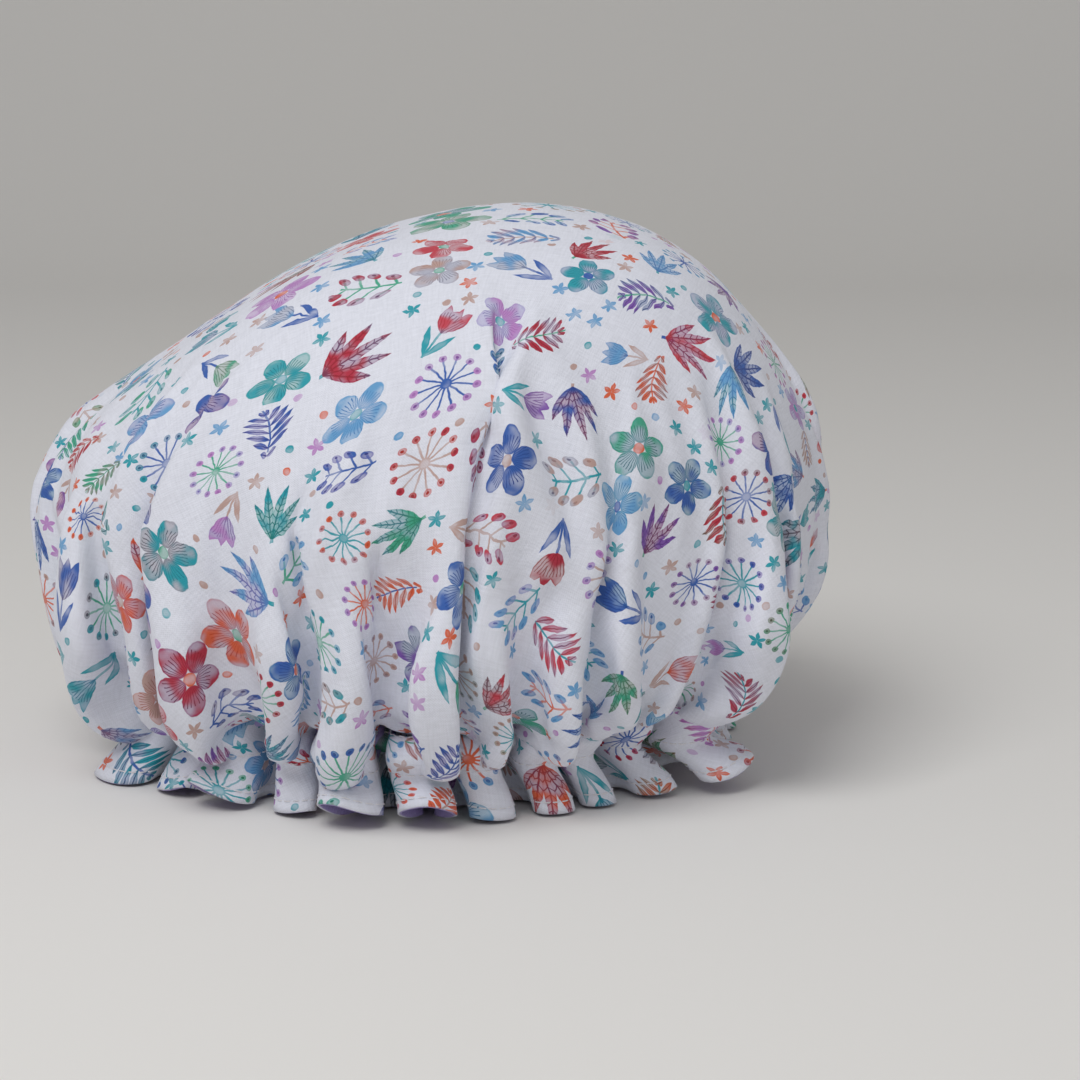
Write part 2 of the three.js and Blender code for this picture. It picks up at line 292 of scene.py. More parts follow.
@dataclass
class PuffedOutline:
    """Outline of the stuffed cap between its folds, from the crown's top to the hem.

    Heights and radii are in metres. The crown and the belly are quarters of superellipses,
    and below them the cloth turns in and up to the casing, goes down through it and flares.
    """

    width: float
    depth: float
    top: float
    opening: float
    casing_low: float
    casing_top: float
    fullest: float = 0.085
    lean: float = 0.030
    crown_power: float = 2.0
    belly_power: float = 2.0
    sag_height: float = 0.020
    sag_out: float = 0.020
    flare_sides: float = 0.010
    flare_front: float = 0.005
    slope: float = 0.2
    floor_gap: float = 0.0011
    crown_steps: int = 400
    neck_steps: int = 100

    @classmethod
    def from_frame(cls) -> "PuffedOutline":
        """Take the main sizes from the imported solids, less the depth of the folds.

        Returns:
            The outline.
        """
        fold_sides, fold_front, fold_top = 0.001, 0.002, 0.001
        low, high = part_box("outer_shell")
        strip_low, strip_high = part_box("elastic_strip")
        seams = [
            sum(corner.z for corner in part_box(f"casing_{row}_needle_thread")) / 2
            for row in ("bottom", "top")
        ]
        return cls(
            width=high.x - low.x - 2 * fold_sides,
            depth=high.y - low.y - 2 * fold_front,
            top=high.z - fold_top,
            opening=(strip_high.x - strip_low.x) / 2,
            casing_low=seams[0],
            casing_top=seams[1],
        )

    def rows(self) -> tuple[np.ndarray, int, int, int]:
        """Sample the outline.

        Returns:
            Rows of half width, half depth and height, then the row numbers of the crown's
            lowest ring and of the casing's top and bottom seams.
        """
        share = np.linspace(0.0, 1.0, self.crown_steps)
        across = np.sin(share * math.pi / 2)
        up = np.clip(np.cos(share * math.pi / 2), 0.0, 1.0)
        half = np.array([self.width / 2, self.depth / 2])
        crown = np.column_stack(
            [
                np.outer(across ** (2 / self.crown_power), half),
                self.fullest + (self.top - self.fullest) * up ** (2 / self.crown_power),
            ]
        )
        sag = self.opening + self.sag_out
        belly = np.column_stack(
            [
                sag + np.outer(up ** (2 / self.belly_power), half - sag),
                self.fullest - (self.fullest - self.sag_height) * across ** (2 / self.belly_power),
            ]
        )
        share = np.linspace(0.0, 1.0, self.neck_steps)
        turn_in = sag + (self.opening - sag) * share
        rise = self.sag_height + (self.casing_top - self.sag_height) * smoothstep(share, 0.0, 1.0)
        neck = np.column_stack([turn_in, turn_in, rise])
        tall = self.casing_top + (self.casing_low - self.casing_top) * share
        casing = np.column_stack([np.full((self.neck_steps, 2), self.opening), tall])
        flare = self.opening + np.outer(share, [self.flare_sides, self.flare_front])
        fall = self.floor_gap + (self.casing_low - self.floor_gap) * (1.0 - share**1.2)
        parts = [crown, belly[1:], neck[1:], casing[1:], np.column_stack([flare, fall])[1:]]
        ends = np.cumsum([len(part) for part in parts]) - 1
        return np.concatenate(parts), *(int(end) for end in ends[1:4])

    def lean_at(self, height: np.ndarray | float) -> np.ndarray | float:
        """Tell how far the crown has leant to the right at a height."""
        rise = np.maximum(0.0, height - self.fullest) / (self.top - self.fullest)
        return self.lean * rise**2

    def sloped(self, points: np.ndarray) -> np.ndarray:
        """Let the crown's shoulders slope to the left and the right.

        Args:
            points: rows of x, y, z on an evenly round crown.

        Returns:
            The rows with the heights between the top and the fullest ring lowered.
        """
        rise = np.clip((points[:, 2] - self.fullest) / (self.top - self.fullest), 0.0, 1.0)
        upright = points[:, 0] - self.lean_at(points[:, 2])
        level = np.hypot(upright, points[:, 1])
        side = np.divide(upright, level, out=np.zeros_like(level), where=level > MM)
        lowered = points.copy()
        share = self.slope * side**6 * np.sin(rise * math.pi) * np.sqrt(rise)
        lowered[:, 2] -= share * (self.top - self.fullest)
        return lowered


@dataclass
class GatheredCircle:
    """A flat circle gathered to the outline, ring by ring, at its true length.

    Each ring is a curve given by its heading: the folds swing it from side to side just so
    much that its full flat length fits round the outline. In the casing the valleys are then
    pushed out over the elastic. Lengths are in metres. A swell round a direction is that
    direction and its spread, in degrees from the front towards the right.
    """

    cut: CutCircle
    outline: PuffedOutline
    valleys: list[Valley]
    spacing: float = 0.007
    around: int = 384
    fewest: int = 28
    samples: int = 5760
    slimmest: float = 0.4  # a face's least width, as a share of the spacing
    normal_passes: int = 30
    fit_passes: int = 24
    fold_width: float = 0.009
    fold_deepens: float = 0.080
    fold_steepness: float = 1.5
    steepest: float = 2.4
    crest_share: float = 0.85  # share of a ring that lies inside the outline on the crown
    evens_out: float = 0.030  # way to the casing on which the folds come to lie half outside
    turns_level: tuple[float, float] = (0.035, 0.003)  # ways to the casing, from tilted to level
    tucked: float = 0.026
    casing_puff: float = 0.010
    casing_clear: float = 0.004
    casing_bend: float = 0.0015
    casing_full: float = 0.75
    right_rise: float = 0.013
    risen_right: tuple[float, float] = (75.0, 35.0)
    hang_starts: tuple[float, float] = (0.170, 0.230)
    hang_fades: float = 0.250
    front_drop: float = 0.001
    dropped_front: tuple[float, float] = (5.0, 25.0)
    sway: float = 1.4
    sway_length: float = 0.170
    sway_starts: tuple[float, float] = (0.060, 0.120)
    sway_fades: float = 0.210
    sway_clear: float = 0.010
    sway_phase: float = 2.4
    crease: float = 0.0008
    crease_starts: tuple[float, float] = (0.130, 0.250)
    crease_fades: float = 0.265
    crease_waves: tuple[tuple[int, float], ...] = ((61, 0.110), (83, -0.160), (107, 0.210))
    ear_flare: float = 0.008
    flared_ears: tuple[tuple[float, float], ...] = ((58.0, 14.0), (-70.0, 18.0))
    ear_rise: float = 0.009
    risen_ear: tuple[float, float] = (64.0, 12.0)
    arch: float = 0.009
    arch_out: float = 0.7
    arch_spread: float = 6.0
    arch_crest: float = 0.012  # how far out a crest stands where it rises in full
    arch_places: tuple[float, ...] = (-15.0, 0.0, -42.0, 118.0, 165.0, -112.0)
    radii: list[float] = field(init=False)
    counts: list[int] = field(init=False)
    starts: list[int] = field(init=False)
    rows: np.ndarray = field(init=False)
    reach: np.ndarray = field(init=False)
    normals: np.ndarray = field(init=False)
    points: np.ndarray = field(init=False)
    flat: np.ndarray = field(init=False)
    faces: list[Face] = field(init=False)

    def __post_init__(self) -> None:
        """Lay the rings out on the flat cut, then gather each to the outline."""
        cut = self.cut
        self.valleys = sorted(self.valleys, key=lambda valley: valley.direction)
        self.radii = [
            *np.arange(self.spacing, cut.casing_top - self.spacing / 2, self.spacing),
            *np.linspace(cut.casing_top, cut.casing_low, 4),
            *np.linspace(cut.casing_low, cut.hem, 5)[1:],
        ]
        self.counts = [self._count(radius) for radius in self.radii]
        self.starts = np.cumsum([1, *self.counts[:-1]]).tolist()
        self._measure()
        rings = [self._ring(r, n) for r, n in zip(self.radii, self.counts)]
        tip = [self.outline.lean, 0.0, self.outline.top]
        self.points = self.outline.sloped(np.concatenate([[tip], *rings]))
        turns = [np.arange(n) / n * FULL_TURN - math.pi for n in self.counts]
        disc = [np.column_stack([r * np.sin(a), -r * np.cos(a)]) for r, a in zip(self.radii, turns)]
        self.flat = np.concatenate([[[0.0, 0.0]], *disc])
        self.faces = self._faces()

    def _count(self, radius: float) -> int:
        """Choose how many points a ring gets: halved towards the middle, for square faces.

        Args:
            radius: the ring's flat radius.

        Returns:
            The number of points.
        """
        count = self.around
        while count > self.fewest and FULL_TURN * radius / count < self.slimmest * self.spacing:
            count //= 2
        return count

    def _measure(self) -> None:
        """Match the outline's length to the cut's radii and find the outline's normals."""
        self.rows, sag, top, low = self.outline.rows()
        mean = np.column_stack([self.rows[:, :2].mean(axis=1), self.rows[:, 2]])
        length = np.concatenate([[0.0], np.cumsum(np.hypot(*np.diff(mean, axis=0).T))])
        marks = [0.0, length[sag], length[top], length[low], length[-1]]
        cut = self.cut
        on_cut = [0.0, cut.casing_top - self.tucked, cut.casing_top, cut.casing_low, cut.hem]
        self.reach = np.interp(length, marks, on_cut)
        tangent = np.gradient(mean, length, axis=0)
        for _ in range(self.normal_passes):
            tangent[1:-1] = (tangent[:-2] + 2 * tangent[1:-1] + tangent[2:]) / 4
        tangent /= np.linalg.norm(tangent, axis=1, keepdims=True)
        self.normals = np.column_stack([-tangent[:, 1], tangent[:, 0]])

    def _bearings(self, radius: float) -> np.ndarray:
        """Let the valleys wander a little on their way down.

        Args:
            radius: a flat radius.

        Returns:
            Each valley's direction there, in radians.
        """
        places = np.array([valley.direction for valley in self.valleys])
        fade = smoothstep(radius, *self.sway_starts)
        sway_ends = self.cut.casing_top - self.sway_clear
        fade = fade * (1.0 - smoothstep(radius, self.sway_fades, sway_ends))
        phase = self.sway_phase * np.arange(len(places))
        sway = np.sin(FULL_TURN * radius / self.sway_length + phase)
        return np.radians(places + self.sway * fade * sway)

    def _creases(self, radius: float, turn: np.ndarray) -> np.ndarray:
        """Run small creases up from the gathers.

        Args:
            radius: the ring's flat radius.
            turn: directions round the flat cut, in radians from the front.

        Returns:
            The creases' height at each direction.
        """
        fade = smoothstep(radius, *self.crease_starts)
        fade = fade * (1.0 - smoothstep(radius, self.crease_fades, self.cut.casing_top))
        waves = [
            np.sin(count * turn + FULL_TURN * radius / pitch + count)
            for count, pitch in self.crease_waves
        ]
        return self.crease * fade * sum(waves)

    def _heading(self, radius: float, turn: np.ndarray, amount: float) -> np.ndarray:
        """Give the heading of a ring at a place, as an angle off the outline.

        Up to an amount of 1 narrow valleys get steeper, up to 2 they get wider, until they
        meet, and up to 3 their walls lean over.

        Args:
            radius: the ring's flat radius.
            turn: directions round the flat cut, in radians from the front.
            amount: how much the folds take up, from 0 to 3.

        Returns:
            The heading in radians.
        """
        steep = self.fold_steepness * min(1.0, amount)
        steep += (self.steepest - self.fold_steepness) * max(0.0, amount - 2.0)
        spread = min(1.0, max(0.0, amount - 1.0))
        rounded = smoothstep(radius, self.cut.casing_low, self.cut.hem)
        # Shares of half a fold where its rounded foot ends and its rounded brow starts
        foot, brow = 0.2 + 0.25 * rounded, 0.6 - 0.1 * rounded
        heading = np.zeros_like(turn)
        bearings = self._bearings(radius)
        gaps = np.diff([bearings[-1] - FULL_TURN, *bearings, bearings[0] + FULL_TURN]) / 2
        for valley, bearing, *room in zip(self.valleys, bearings, gaps[:-1], gaps[1:]):
            full_depth = valley.start + self.fold_deepens
            weight = valley.weight * smoothstep(radius, valley.start, full_depth)
            away = (turn - bearing + math.pi) % FULL_TURN - math.pi
            full = np.where(away < 0.0, *room) * radius
            narrow = min(self.fold_width, min(room) * radius)
            share = away * radius / (narrow + spread * (full - narrow))
            rise, fall = (smoothstep(np.abs(share), *ends) for ends in ((0.0, foot), (brow, 1.0)))
            wall = rise * (1.0 - fall)
            heading += steep * min(1.0, math.sqrt(weight)) * np.sign(share) * wall
        return heading

    def _folded(self, radius: float, length: float) -> tuple[np.ndarray, np.ndarray]:
        """Find the folds with which a ring of the cut just fits round the outline.

        Args:
            radius: the ring's flat radius.
            length: the outline's length round the cap there.

        Returns:
            How far each sample has come along the outline, and how far it stands out of it.
        """
        turn = (np.arange(self.samples) + 0.5) / self.samples * FULL_TURN - math.pi
        step = FULL_TURN * radius / self.samples
        low, high = 0.0, 3.0
        for _ in range(self.fit_passes):
            middle = (low + high) / 2
            heading = self._heading(radius, turn, middle)
            too_short = np.cos(heading).sum() * step < length
            low, high = (low, middle) if too_short else (middle, high)
        along = np.concatenate([[0.0], np.cumsum(np.cos(heading))])
        out = np.concatenate([[0.0], np.cumsum(np.sin(heading))]) * step
        out -= np.linspace(0.0, out[-1], self.samples + 1)
        out[1:] += self._creases(radius, turn)
        near = smoothstep(radius, self.cut.casing_top - self.evens_out, self.cut.casing_top)
        out -= near * out.mean() + (1.0 - near) * np.quantile(out, self.crest_share)
        return along, out

    def _lobes(
        self, radius: float, degrees: np.ndarray, out: np.ndarray
    ) -> tuple[np.ndarray, np.ndarray, np.ndarray]:
        """Open some lobes of the ruffle, splay its ears and level the bulges' lower edge.

        Args:
            radius: the ring's flat radius.
            degrees: each sample's direction.
            out: how far each sample stands out of the outline.

        Returns:
            How far the ruffle spreads, how far its crests rise and how far the bulges rise.
        """
        flare = smoothstep(radius, self.cut.casing_low, self.cut.hem)
        arches = flare * sum(bell(degrees, place, self.arch_spread) for place in self.arch_places)
        right, left = (bell(degrees, *ear) for ear in self.flared_ears)
        spread = self.ear_flare * flare * (right + left) + self.arch_out * self.arch * arches
        crest = self.arch * smoothstep(out, 0.0, self.arch_crest) * arches
        crest = crest + self.ear_rise * flare * bell(degrees, *self.risen_ear)
        hang = smoothstep(radius, *self.hang_starts)
        hang = hang * smoothstep(-radius, -self.cut.casing_top, -self.hang_fades)
        bottom = self.right_rise * bell(degrees, *self.risen_right)
        bottom = bottom - self.front_drop * bell(degrees, *self.dropped_front)
        return spread, crest, hang * bottom

    def _ring(self, radius: float, count: int) -> np.ndarray:
        """Gather one ring of the cut.

        Args:
            radius: the ring's flat radius.
            count: how many points it gets.

        Returns:
            One row of x, y, z for each point.
        """
        half_x, half_y, height = (np.interp(radius, self.reach, c) for c in self.rows.T)
        out_share, up_share = (np.interp(radius, self.reach, c) for c in self.normals.T)
        plan = np.linspace(-math.pi, math.pi, self.samples // 2 + 1)
        sides = np.hypot(*np.diff([half_x * np.sin(plan), half_y * np.cos(plan)], axis=1))
        round_length = np.concatenate([[0.0], np.cumsum(sides)])
        along, out = self._folded(radius, round_length[-1])
        direction = np.interp(along / along[-1] * round_length[-1], round_length, plan)
        spread, crest, hang = self._lobes(radius, np.degrees(direction), out)
        level = smoothstep(radius, *(self.cut.casing_top - above for above in self.turns_level))
        tilt = math.atan2(up_share, out_share) * (1.0 - level)
        push = out * math.cos(tilt) + spread + self.puff_at(radius)
        push += self.in_casing(radius) * soft_excess(self.casing_clear - push, self.casing_bend)
        lift = out * math.sin(tilt) + crest + hang
        places = [
            (half_x + push) * np.sin(direction) + self.outline.lean_at(height),
            -(half_y + push) * np.cos(direction),
            height + lift,
        ]
        picks = np.arange(count) / count * self.samples
        return np.column_stack([np.interp(picks, np.arange(len(out)), c) for c in places])

    def casing_share(self, radius: np.ndarray | float) -> np.ndarray | float:
        """Swell from 0 at the casing's seams to 1 in its middle, at a flat radius."""
        share = (radius - self.cut.casing_top) / (self.cut.casing_low - self.cut.casing_top)
        return np.sin(np.clip(share, 0.0, 1.0) * math.pi) ** 2

    def in_casing(self, radius: np.ndarray | float) -> np.ndarray | float:
        """Tell how far inside the casing a flat radius is: 0 at its seams, 1 along the elastic."""
        return smoothstep(self.casing_share(radius), 0.0, self.casing_full)

    def puff_at(self, radius: np.ndarray | float) -> np.ndarray | float:
        """Tell how far the casing's outer wall swells out over the elastic at a flat radius."""
        return self.casing_puff * self.casing_share(radius)

    def _faces(self) -> list[Face]:
        """Join the rings: quads, or three triangles where the next ring has twice the points.

        Returns:
            Vertex numbers of each face.
        """
        first, count = self.starts[0], self.counts[0]
        faces: list[Face] = [(0, first + i, first + (i + 1) % count) for i in range(count)]
        for k in range(1, len(self.radii)):
            upper, lower = self.starts[k - 1], self.starts[k]
            count, below = self.counts[k - 1], self.counts[k]
            for i in range(count):
                a, b = upper + i, upper + (i + 1) % count
                if count == below:
                    faces.append((a, lower + i, lower + (i + 1) % below, b))
                else:
                    c, d, e = (lower + (2 * i + n) % below for n in range(3))
                    faces += [(a, c, d), (a, d, b), (b, d, e)]
        return faces


@dataclass(frozen=True)
class ClothSettling:
    """A short cloth simulation that lets the gathered circle hang, fold and rest.

    The cap is enlarged for it, because the solver's own tolerances suit sizes of metres.
    """

    enlarged: float = 10.0
    frames: int = 10
    quality: int = 5
    mass: float = 0.1
    stretch: float = 40.0
    shear: float = 12.0
    bending: float = 6.0
    gravity: float = 0.3
    pressure: float = 5.0
    floor_half: float = 3.0
    floor_gap: float = 0.003
    floor_friction: float = 20.0
    stuffing_gap: float = 0.01
    stuffing_friction: float = 1.0
    stuffing_inset: float = 0.011
    stuffing_top_inset: float = 0.0015
    stuffing_foot: float = 0.030
    stuffing_belly_inset: float = 0.006
    stuffing_power: float = 1.5
    stuffing_around: int = 72
    stuffing_skip: int = 12  # the stuffing takes one row of the outline in so many

    def settle(self, cloth: GatheredCircle) -> np.ndarray:
        """Run the simulation from the gathered shape, with the flat cut as the cloth at rest.

        Args:
            cloth: the gathered circle. Its casing stays where it is.

        Returns:
            The settled points, one row of x, y, z each.
        """
        scene = bpy.context.scene
        sheet = self._sheet(cloth)
        corners = np.array([(-1, -1, 0), (1, -1, 0), (1, 1, 0), (-1, 1, 0)]) * self.floor_half
        floor = new_mesh_object("settling_floor", corners, [(0, 1, 2, 3)])
        stuffing = self._stuffing(cloth.outline)
        touched = (
            (floor, self.floor_gap, self.floor_friction),
            (stuffing, self.stuffing_gap, self.stuffing_friction),
        )
        for body, gap, friction in touched:
            body.modifiers.new("collision", "COLLISION")
            body.collision.thickness_outer = gap
            body.collision.cloth_friction = friction
        for number in range(1, self.frames + 1):
            scene.frame_set(number)
        settled = sheet.evaluated_get(bpy.context.evaluated_depsgraph_get()).data
        points = np.empty(len(settled.vertices) * 3, np.float32)
        settled.vertices.foreach_get("co", points)
        for helper in (sheet, floor, stuffing):
            bpy.data.objects.remove(helper, do_unlink=True)
        scene.frame_set(1)
        return points.reshape(-1, 3).astype(float) / self.enlarged

    def _sheet(self, cloth: GatheredCircle) -> bpy.types.Object:
        """Make the sheet that is simulated.

        Args:
            cloth: the gathered circle.

        Returns:
            The object with its Cloth modifier.
        """
        sheet = new_mesh_object("settling_sheet", cloth.points * self.enlarged, cloth.faces)
        sheet.shape_key_add(name="gathered")
        flat = sheet.shape_key_add(name="flat")
        level = np.column_stack([cloth.flat, np.zeros(len(cloth.flat))]) * self.enlarged
        flat.data.foreach_set("co", level.astype(np.float32).ravel())
        radius = np.linalg.norm(cloth.flat, axis=1)
        pins = sheet.vertex_groups.new(name="casing_and_ruffle")
        pins.add(np.flatnonzero(radius > cloth.cut.casing_top - MM).tolist(), 1.0, "REPLACE")
        modifier = sheet.modifiers.new("settling", "CLOTH")
        modifier.point_cache.frame_end = self.frames
        wanted = {
            "quality": self.quality, "mass": self.mass, "bending_model": "ANGULAR",
            "tension_stiffness": self.stretch, "compression_stiffness": self.stretch,
            "shear_stiffness": self.shear, "bending_stiffness": self.bending,
            "tension_damping": 5.0, "compression_damping": 5.0, "shear_damping": 5.0,
            "bending_damping": 0.5, "air_damping": 2.0,
            "vertex_group_mass": pins.name, "rest_shape_key": flat,
            "use_pressure": True, "uniform_pressure_force": self.pressure,
        }
        for name, value in wanted.items():
            setattr(modifier.settings, name, value)
        modifier.settings.effector_weights.gravity = self.gravity
        touching = {
            "distance_min": 0.01, "collision_quality": 2, "use_self_collision": True,
            "self_distance_min": 0.012, "self_friction": 2.0,
        }
        for name, value in touching.items():
            setattr(modifier.collision_settings, name, value)
        return sheet

    def _stuffing(self, outline: PuffedOutline) -> bpy.types.Object:
        """Make the body that holds the crown up from inside.

        Args:
            outline: the cap's outline, which the stuffing stays inside.

        Returns:
            The stuffing, flat at its foot.
        """
        rows, lowest, _, _ = outline.rows()
        rows = rows[: lowest : self.stuffing_skip]
        around = self.stuffing_around
        angle = np.arange(around) / around * FULL_TURN
        rise = np.maximum(0.0, rows[:, 2] - outline.fullest) / (outline.top - outline.fullest)
        deeper = self.stuffing_top_inset - self.stuffing_inset
        inset = self.stuffing_inset + deeper * rise**self.stuffing_power
        belly = smoothstep(-rows[:, 2], -outline.fullest, -outline.sag_height)
        inset += self.stuffing_belly_inset * belly
        half = np.maximum(rows[:, :2] - inset[:, None], 0.3 * MM)
        lowered = rows[:, 2] - np.where(rise > 0, self.stuffing_top_inset, 0.0)
        height = np.maximum(lowered, self.stuffing_foot)
        points = np.stack(
            [
                np.outer(half[:, 0], np.sin(angle)) + outline.lean_at(rows[:, 2])[:, None],
                -np.outer(half[:, 1], np.cos(angle)),
                np.repeat(height[:, None], around, axis=1),
            ],
            axis=-1,
        ).reshape(-1, 3)
        faces = [tuple(reversed(range(around)))]
        for k in range(len(rows) - 1):
            for i in range(around):
                j = (i + 1) % around
                faces.append(tuple(k * around + n for n in (i, i + around, j + around, j)))
        return new_mesh_object("settling_stuffing", outline.sloped(points) * self.enlarged, faces)


class ClothSurface:
    """The settled cloth as a smooth face that knows its place on the flat cut."""

    EVENED = (0.030, 0.080)  # flat radii between which the smoothing of the middle fades out
    EVENING_SHARE = 0.6
    EVENING_TIMES = 24

    def __init__(self, cloth: GatheredCircle, points: np.ndarray) -> None:
        """Even out the crown's middle, then refine the faces once.

        Args:
            cloth: the gathered circle with the faces and the flat cut.
            points: the settled points.
        """
        self.cut = cloth.cut
        cage = new_mesh_object("cloth_cage", self._evened(cloth, points), cloth.faces)
        write_map(cage.data, FLAT_MAP, cloth.flat)
        refine = cage.modifiers.new("refine", "SUBSURF")
        refine.levels = refine.render_levels = 1
        refine.uv_smooth = "NONE"
        refined = cage.evaluated_get(bpy.context.evaluated_depsgraph_get())
        mesh = bpy.data.meshes.new_from_object(refined)
        bpy.data.objects.remove(cage, do_unlink=True)
        self.points = self._read(mesh.vertices, "co", 3)
        self.normals = self._read(mesh.vertices, "normal", 3)
        corners = np.empty(len(mesh.loops), np.int32)
        mesh.loops.foreach_get("vertex_index", corners)
        self.flat = np.empty((len(self.points), 2))
        self.flat[corners] = self._read(mesh.uv_layers[FLAT_MAP].data, "uv", 2)
        self.faces = [tuple(face.vertices) for face in mesh.polygons]
        self.radius = np.linalg.norm(self.flat, axis=1)
        self.edge = self._edge()
        bpy.data.meshes.remove(mesh)
        fans = [(f[0], f[i], f[i + 1]) for f in self.faces for i in range(1, len(f) - 1)]
        self._triangles = np.array(fans)
        level = np.column_stack([self.flat, np.zeros(len(self.flat))])
        self._tree = BVHTree.FromPolygons(level.tolist(), fans, all_triangles=True)

    @staticmethod
    def _read(items: bpy.types.bpy_prop_collection, name: str, width: int) -> np.ndarray:
        """Read a property of every item.

        Args:
            items: the mesh's vertices or UV places.
            name: the property's name.
            width: how many numbers it has.

        Returns:
            One row for each item.
        """
        values = np.empty(len(items) * width, np.float32)
        items.foreach_get(name, values)
        return values.reshape(-1, width).astype(float)

    @classmethod
    def _evened(cls, cloth: GatheredCircle, points: np.ndarray) -> np.ndarray:
        """Smooth the crown's middle, where the rings close up to a point.

        Args:
            cloth: the gathered circle.
            points: the settled points.

        Returns:
            The points, moved only near the middle of the circle.
        """
        pairs = {tuple(sorted((f[i - 1], f[i]))) for f in cloth.faces for i in range(len(f))}
        ends = np.array(sorted(pairs))
        radius = np.linalg.norm(cloth.flat, axis=1)
        weight = (1.0 - smoothstep(radius, *cls.EVENED))[:, None] * cls.EVENING_SHARE
        degree = np.bincount(ends.ravel(), minlength=len(points))[:, None]
        evened = points.copy()
        for _ in range(cls.EVENING_TIMES):
            total = np.zeros_like(evened)
            np.add.at(total, ends[:, 0], evened[ends[:, 1]])
            np.add.at(total, ends[:, 1], evened[ends[:, 0]])
            evened += weight * (total / degree - evened)
        return evened

    def _edge(self) -> list[tuple[int, int]]:
        """List the edges on the hem, each in the order its face runs."""
        runs = {(f[i - 1], f[i]) for f in self.faces for i in range(len(f))}
        return sorted((a, b) for a, b in runs if (b, a) not in runs)

    def behind(self, depth: np.ndarray | float, tunnel: np.ndarray | float = 0.0) -> np.ndarray:
        """Move the face inwards.

        Args:
            depth: how far along the normals.
            tunnel: how far level towards the cap's middle line, for the casing. A wall that
                leans over slides along itself, so that it isn't pushed through.

        Returns:
            The moved points.
        """
        level = self.points * [1.0, 1.0, 0.0]
        level /= np.maximum(np.linalg.norm(level, axis=1, keepdims=True), MM)
        over = np.minimum(0.0, (level * self.normals).sum(axis=1, keepdims=True))
        slide = np.reshape(tunnel, (-1, 1)) * (level - over * self.normals)
        return self.points - np.reshape(depth, (-1, 1)) * self.normals - slide

    def sheet(self, name: str, front: np.ndarray, back: np.ndarray) -> bpy.types.Object:
        """Close two faces of a layer at the hem.

        Args:
            name: the object's name.
            front: points of the face that looks outwards.
            back: points of the face that looks inwards.

        Returns:
            The layer, with the flat cut as its UV map from 0 to 1.
        """
        size = len(front)
        faces = list(self.faces) + [tuple(n + size for n in reversed(f)) for f in self.faces]
        faces += [(b, a, a + size, b + size) for a, b in self.edge]
        obj = new_mesh_object(name, np.concatenate([front, back]), faces)
        write_map(obj.data, FLAT_MAP, np.tile(self.flat / (2 * self.cut.hem) + 0.5, (2, 1)))
        return obj

    def look_up(self, places: np.ndarray, values: np.ndarray) -> np.ndarray:
        """Read values at places of the flat cut.

        Args:
            places: rows of x, y on the flat cut.
            values: one row for each point of the face.

        Returns:
            One row for each place.
        """
        found = []
        for x, y in places:
            spot, _, index, _ = self._tree.find_nearest((x, y, 0.0))
            corners = self._triangles[index]
            a, b, c = self.flat[corners]
            weights = np.linalg.solve(np.array([b - a, c - a]).T, np.array(spot[:2]) - a)
            found.append(np.array([1.0 - weights.sum(), *weights]) @ values[corners])
        return np.array(found)


# Finishes


class Surface:
    """A material in the making, with its node tree and its Principled shader."""

    def __init__(self, name: str, settings: Mapping[str, object]) -> None:
        """Start the material.

        Args:
            name: the material's name.
            settings: constants of its Principled shader.
        """
        self.material = bpy.data.materials.new(name)
        self.material.use_nodes = True
        self.tree = self.material.node_tree
        self.tree.nodes.clear()
        self.shader = add_node(self.tree, "ShaderNodeBsdfPrincipled", inputs=settings)
        shown = {"Surface": self.shader.outputs["BSDF"]}
        add_node(self.tree, "ShaderNodeOutputMaterial", inputs=shown)

    def flat_place(self, cut: CutCircle) -> Socket:
        """Find the place on a flat cut.

        Args:
            cut: the cut that the UV map spans.

        Returns:
            The place in millimetres from the cut's middle.
        """
        size = 2 * cut.hem / MM
        uv = add_node(self.tree, "ShaderNodeUVMap", {"uv_map": FLAT_MAP}).outputs["UV"]
        scaled = {0: uv, 1: (size, size, 0.0), 2: (-size / 2, -size / 2, 0.0)}
        settings = {"operation": "MULTIPLY_ADD"}
        return add_node(self.tree, "ShaderNodeVectorMath", settings, scaled).outputs[0]

    def thread_place(self) -> list[Formula]:
        """Find the place along and across a thread or a strip."""
        uv = add_node(self.tree, "ShaderNodeUVMap", {"uv_map": THREAD_MAP}).outputs["UV"]
        return Formula.split(self.tree, "ShaderNodeSeparateXYZ", uv)[:2]

    def finished(self, colour: Socket, height: Formula) -> bpy.types.Material:
        """Lay the colour and the relief on.

        Args:
            colour: the surface's colour.
            height: its relief in millimetres.

        Returns:
            The finished material.
        """
        relief = {"Strength": 1.0, "Distance": MM, "Height": height}
        bump = add_node(self.tree, "ShaderNodeBump", inputs=relief)
        self.tree.links.new(colour, self.shader.inputs["Base Color"])
        self.tree.links.new(bump.outputs["Normal"], self.shader.inputs["Normal"])
        return self.material


class Ink(Enum):
    """Inks of the print, as sRGB."""

    CRIMSON = "#B63347"
    TURQUOISE = "#2E9FAE"
    CORAL = "#DC6644"
    ROYAL_BLUE = "#3B63B0"
    SKY_BLUE = "#6BA3D2"
    SEA_GREEN = "#48A98C"
    ORCHID = "#BE8BC8"
    ROSE_RED = "#C94756"
    VIOLET = "#8259AE"
    TAUPE = "#C0A19A"


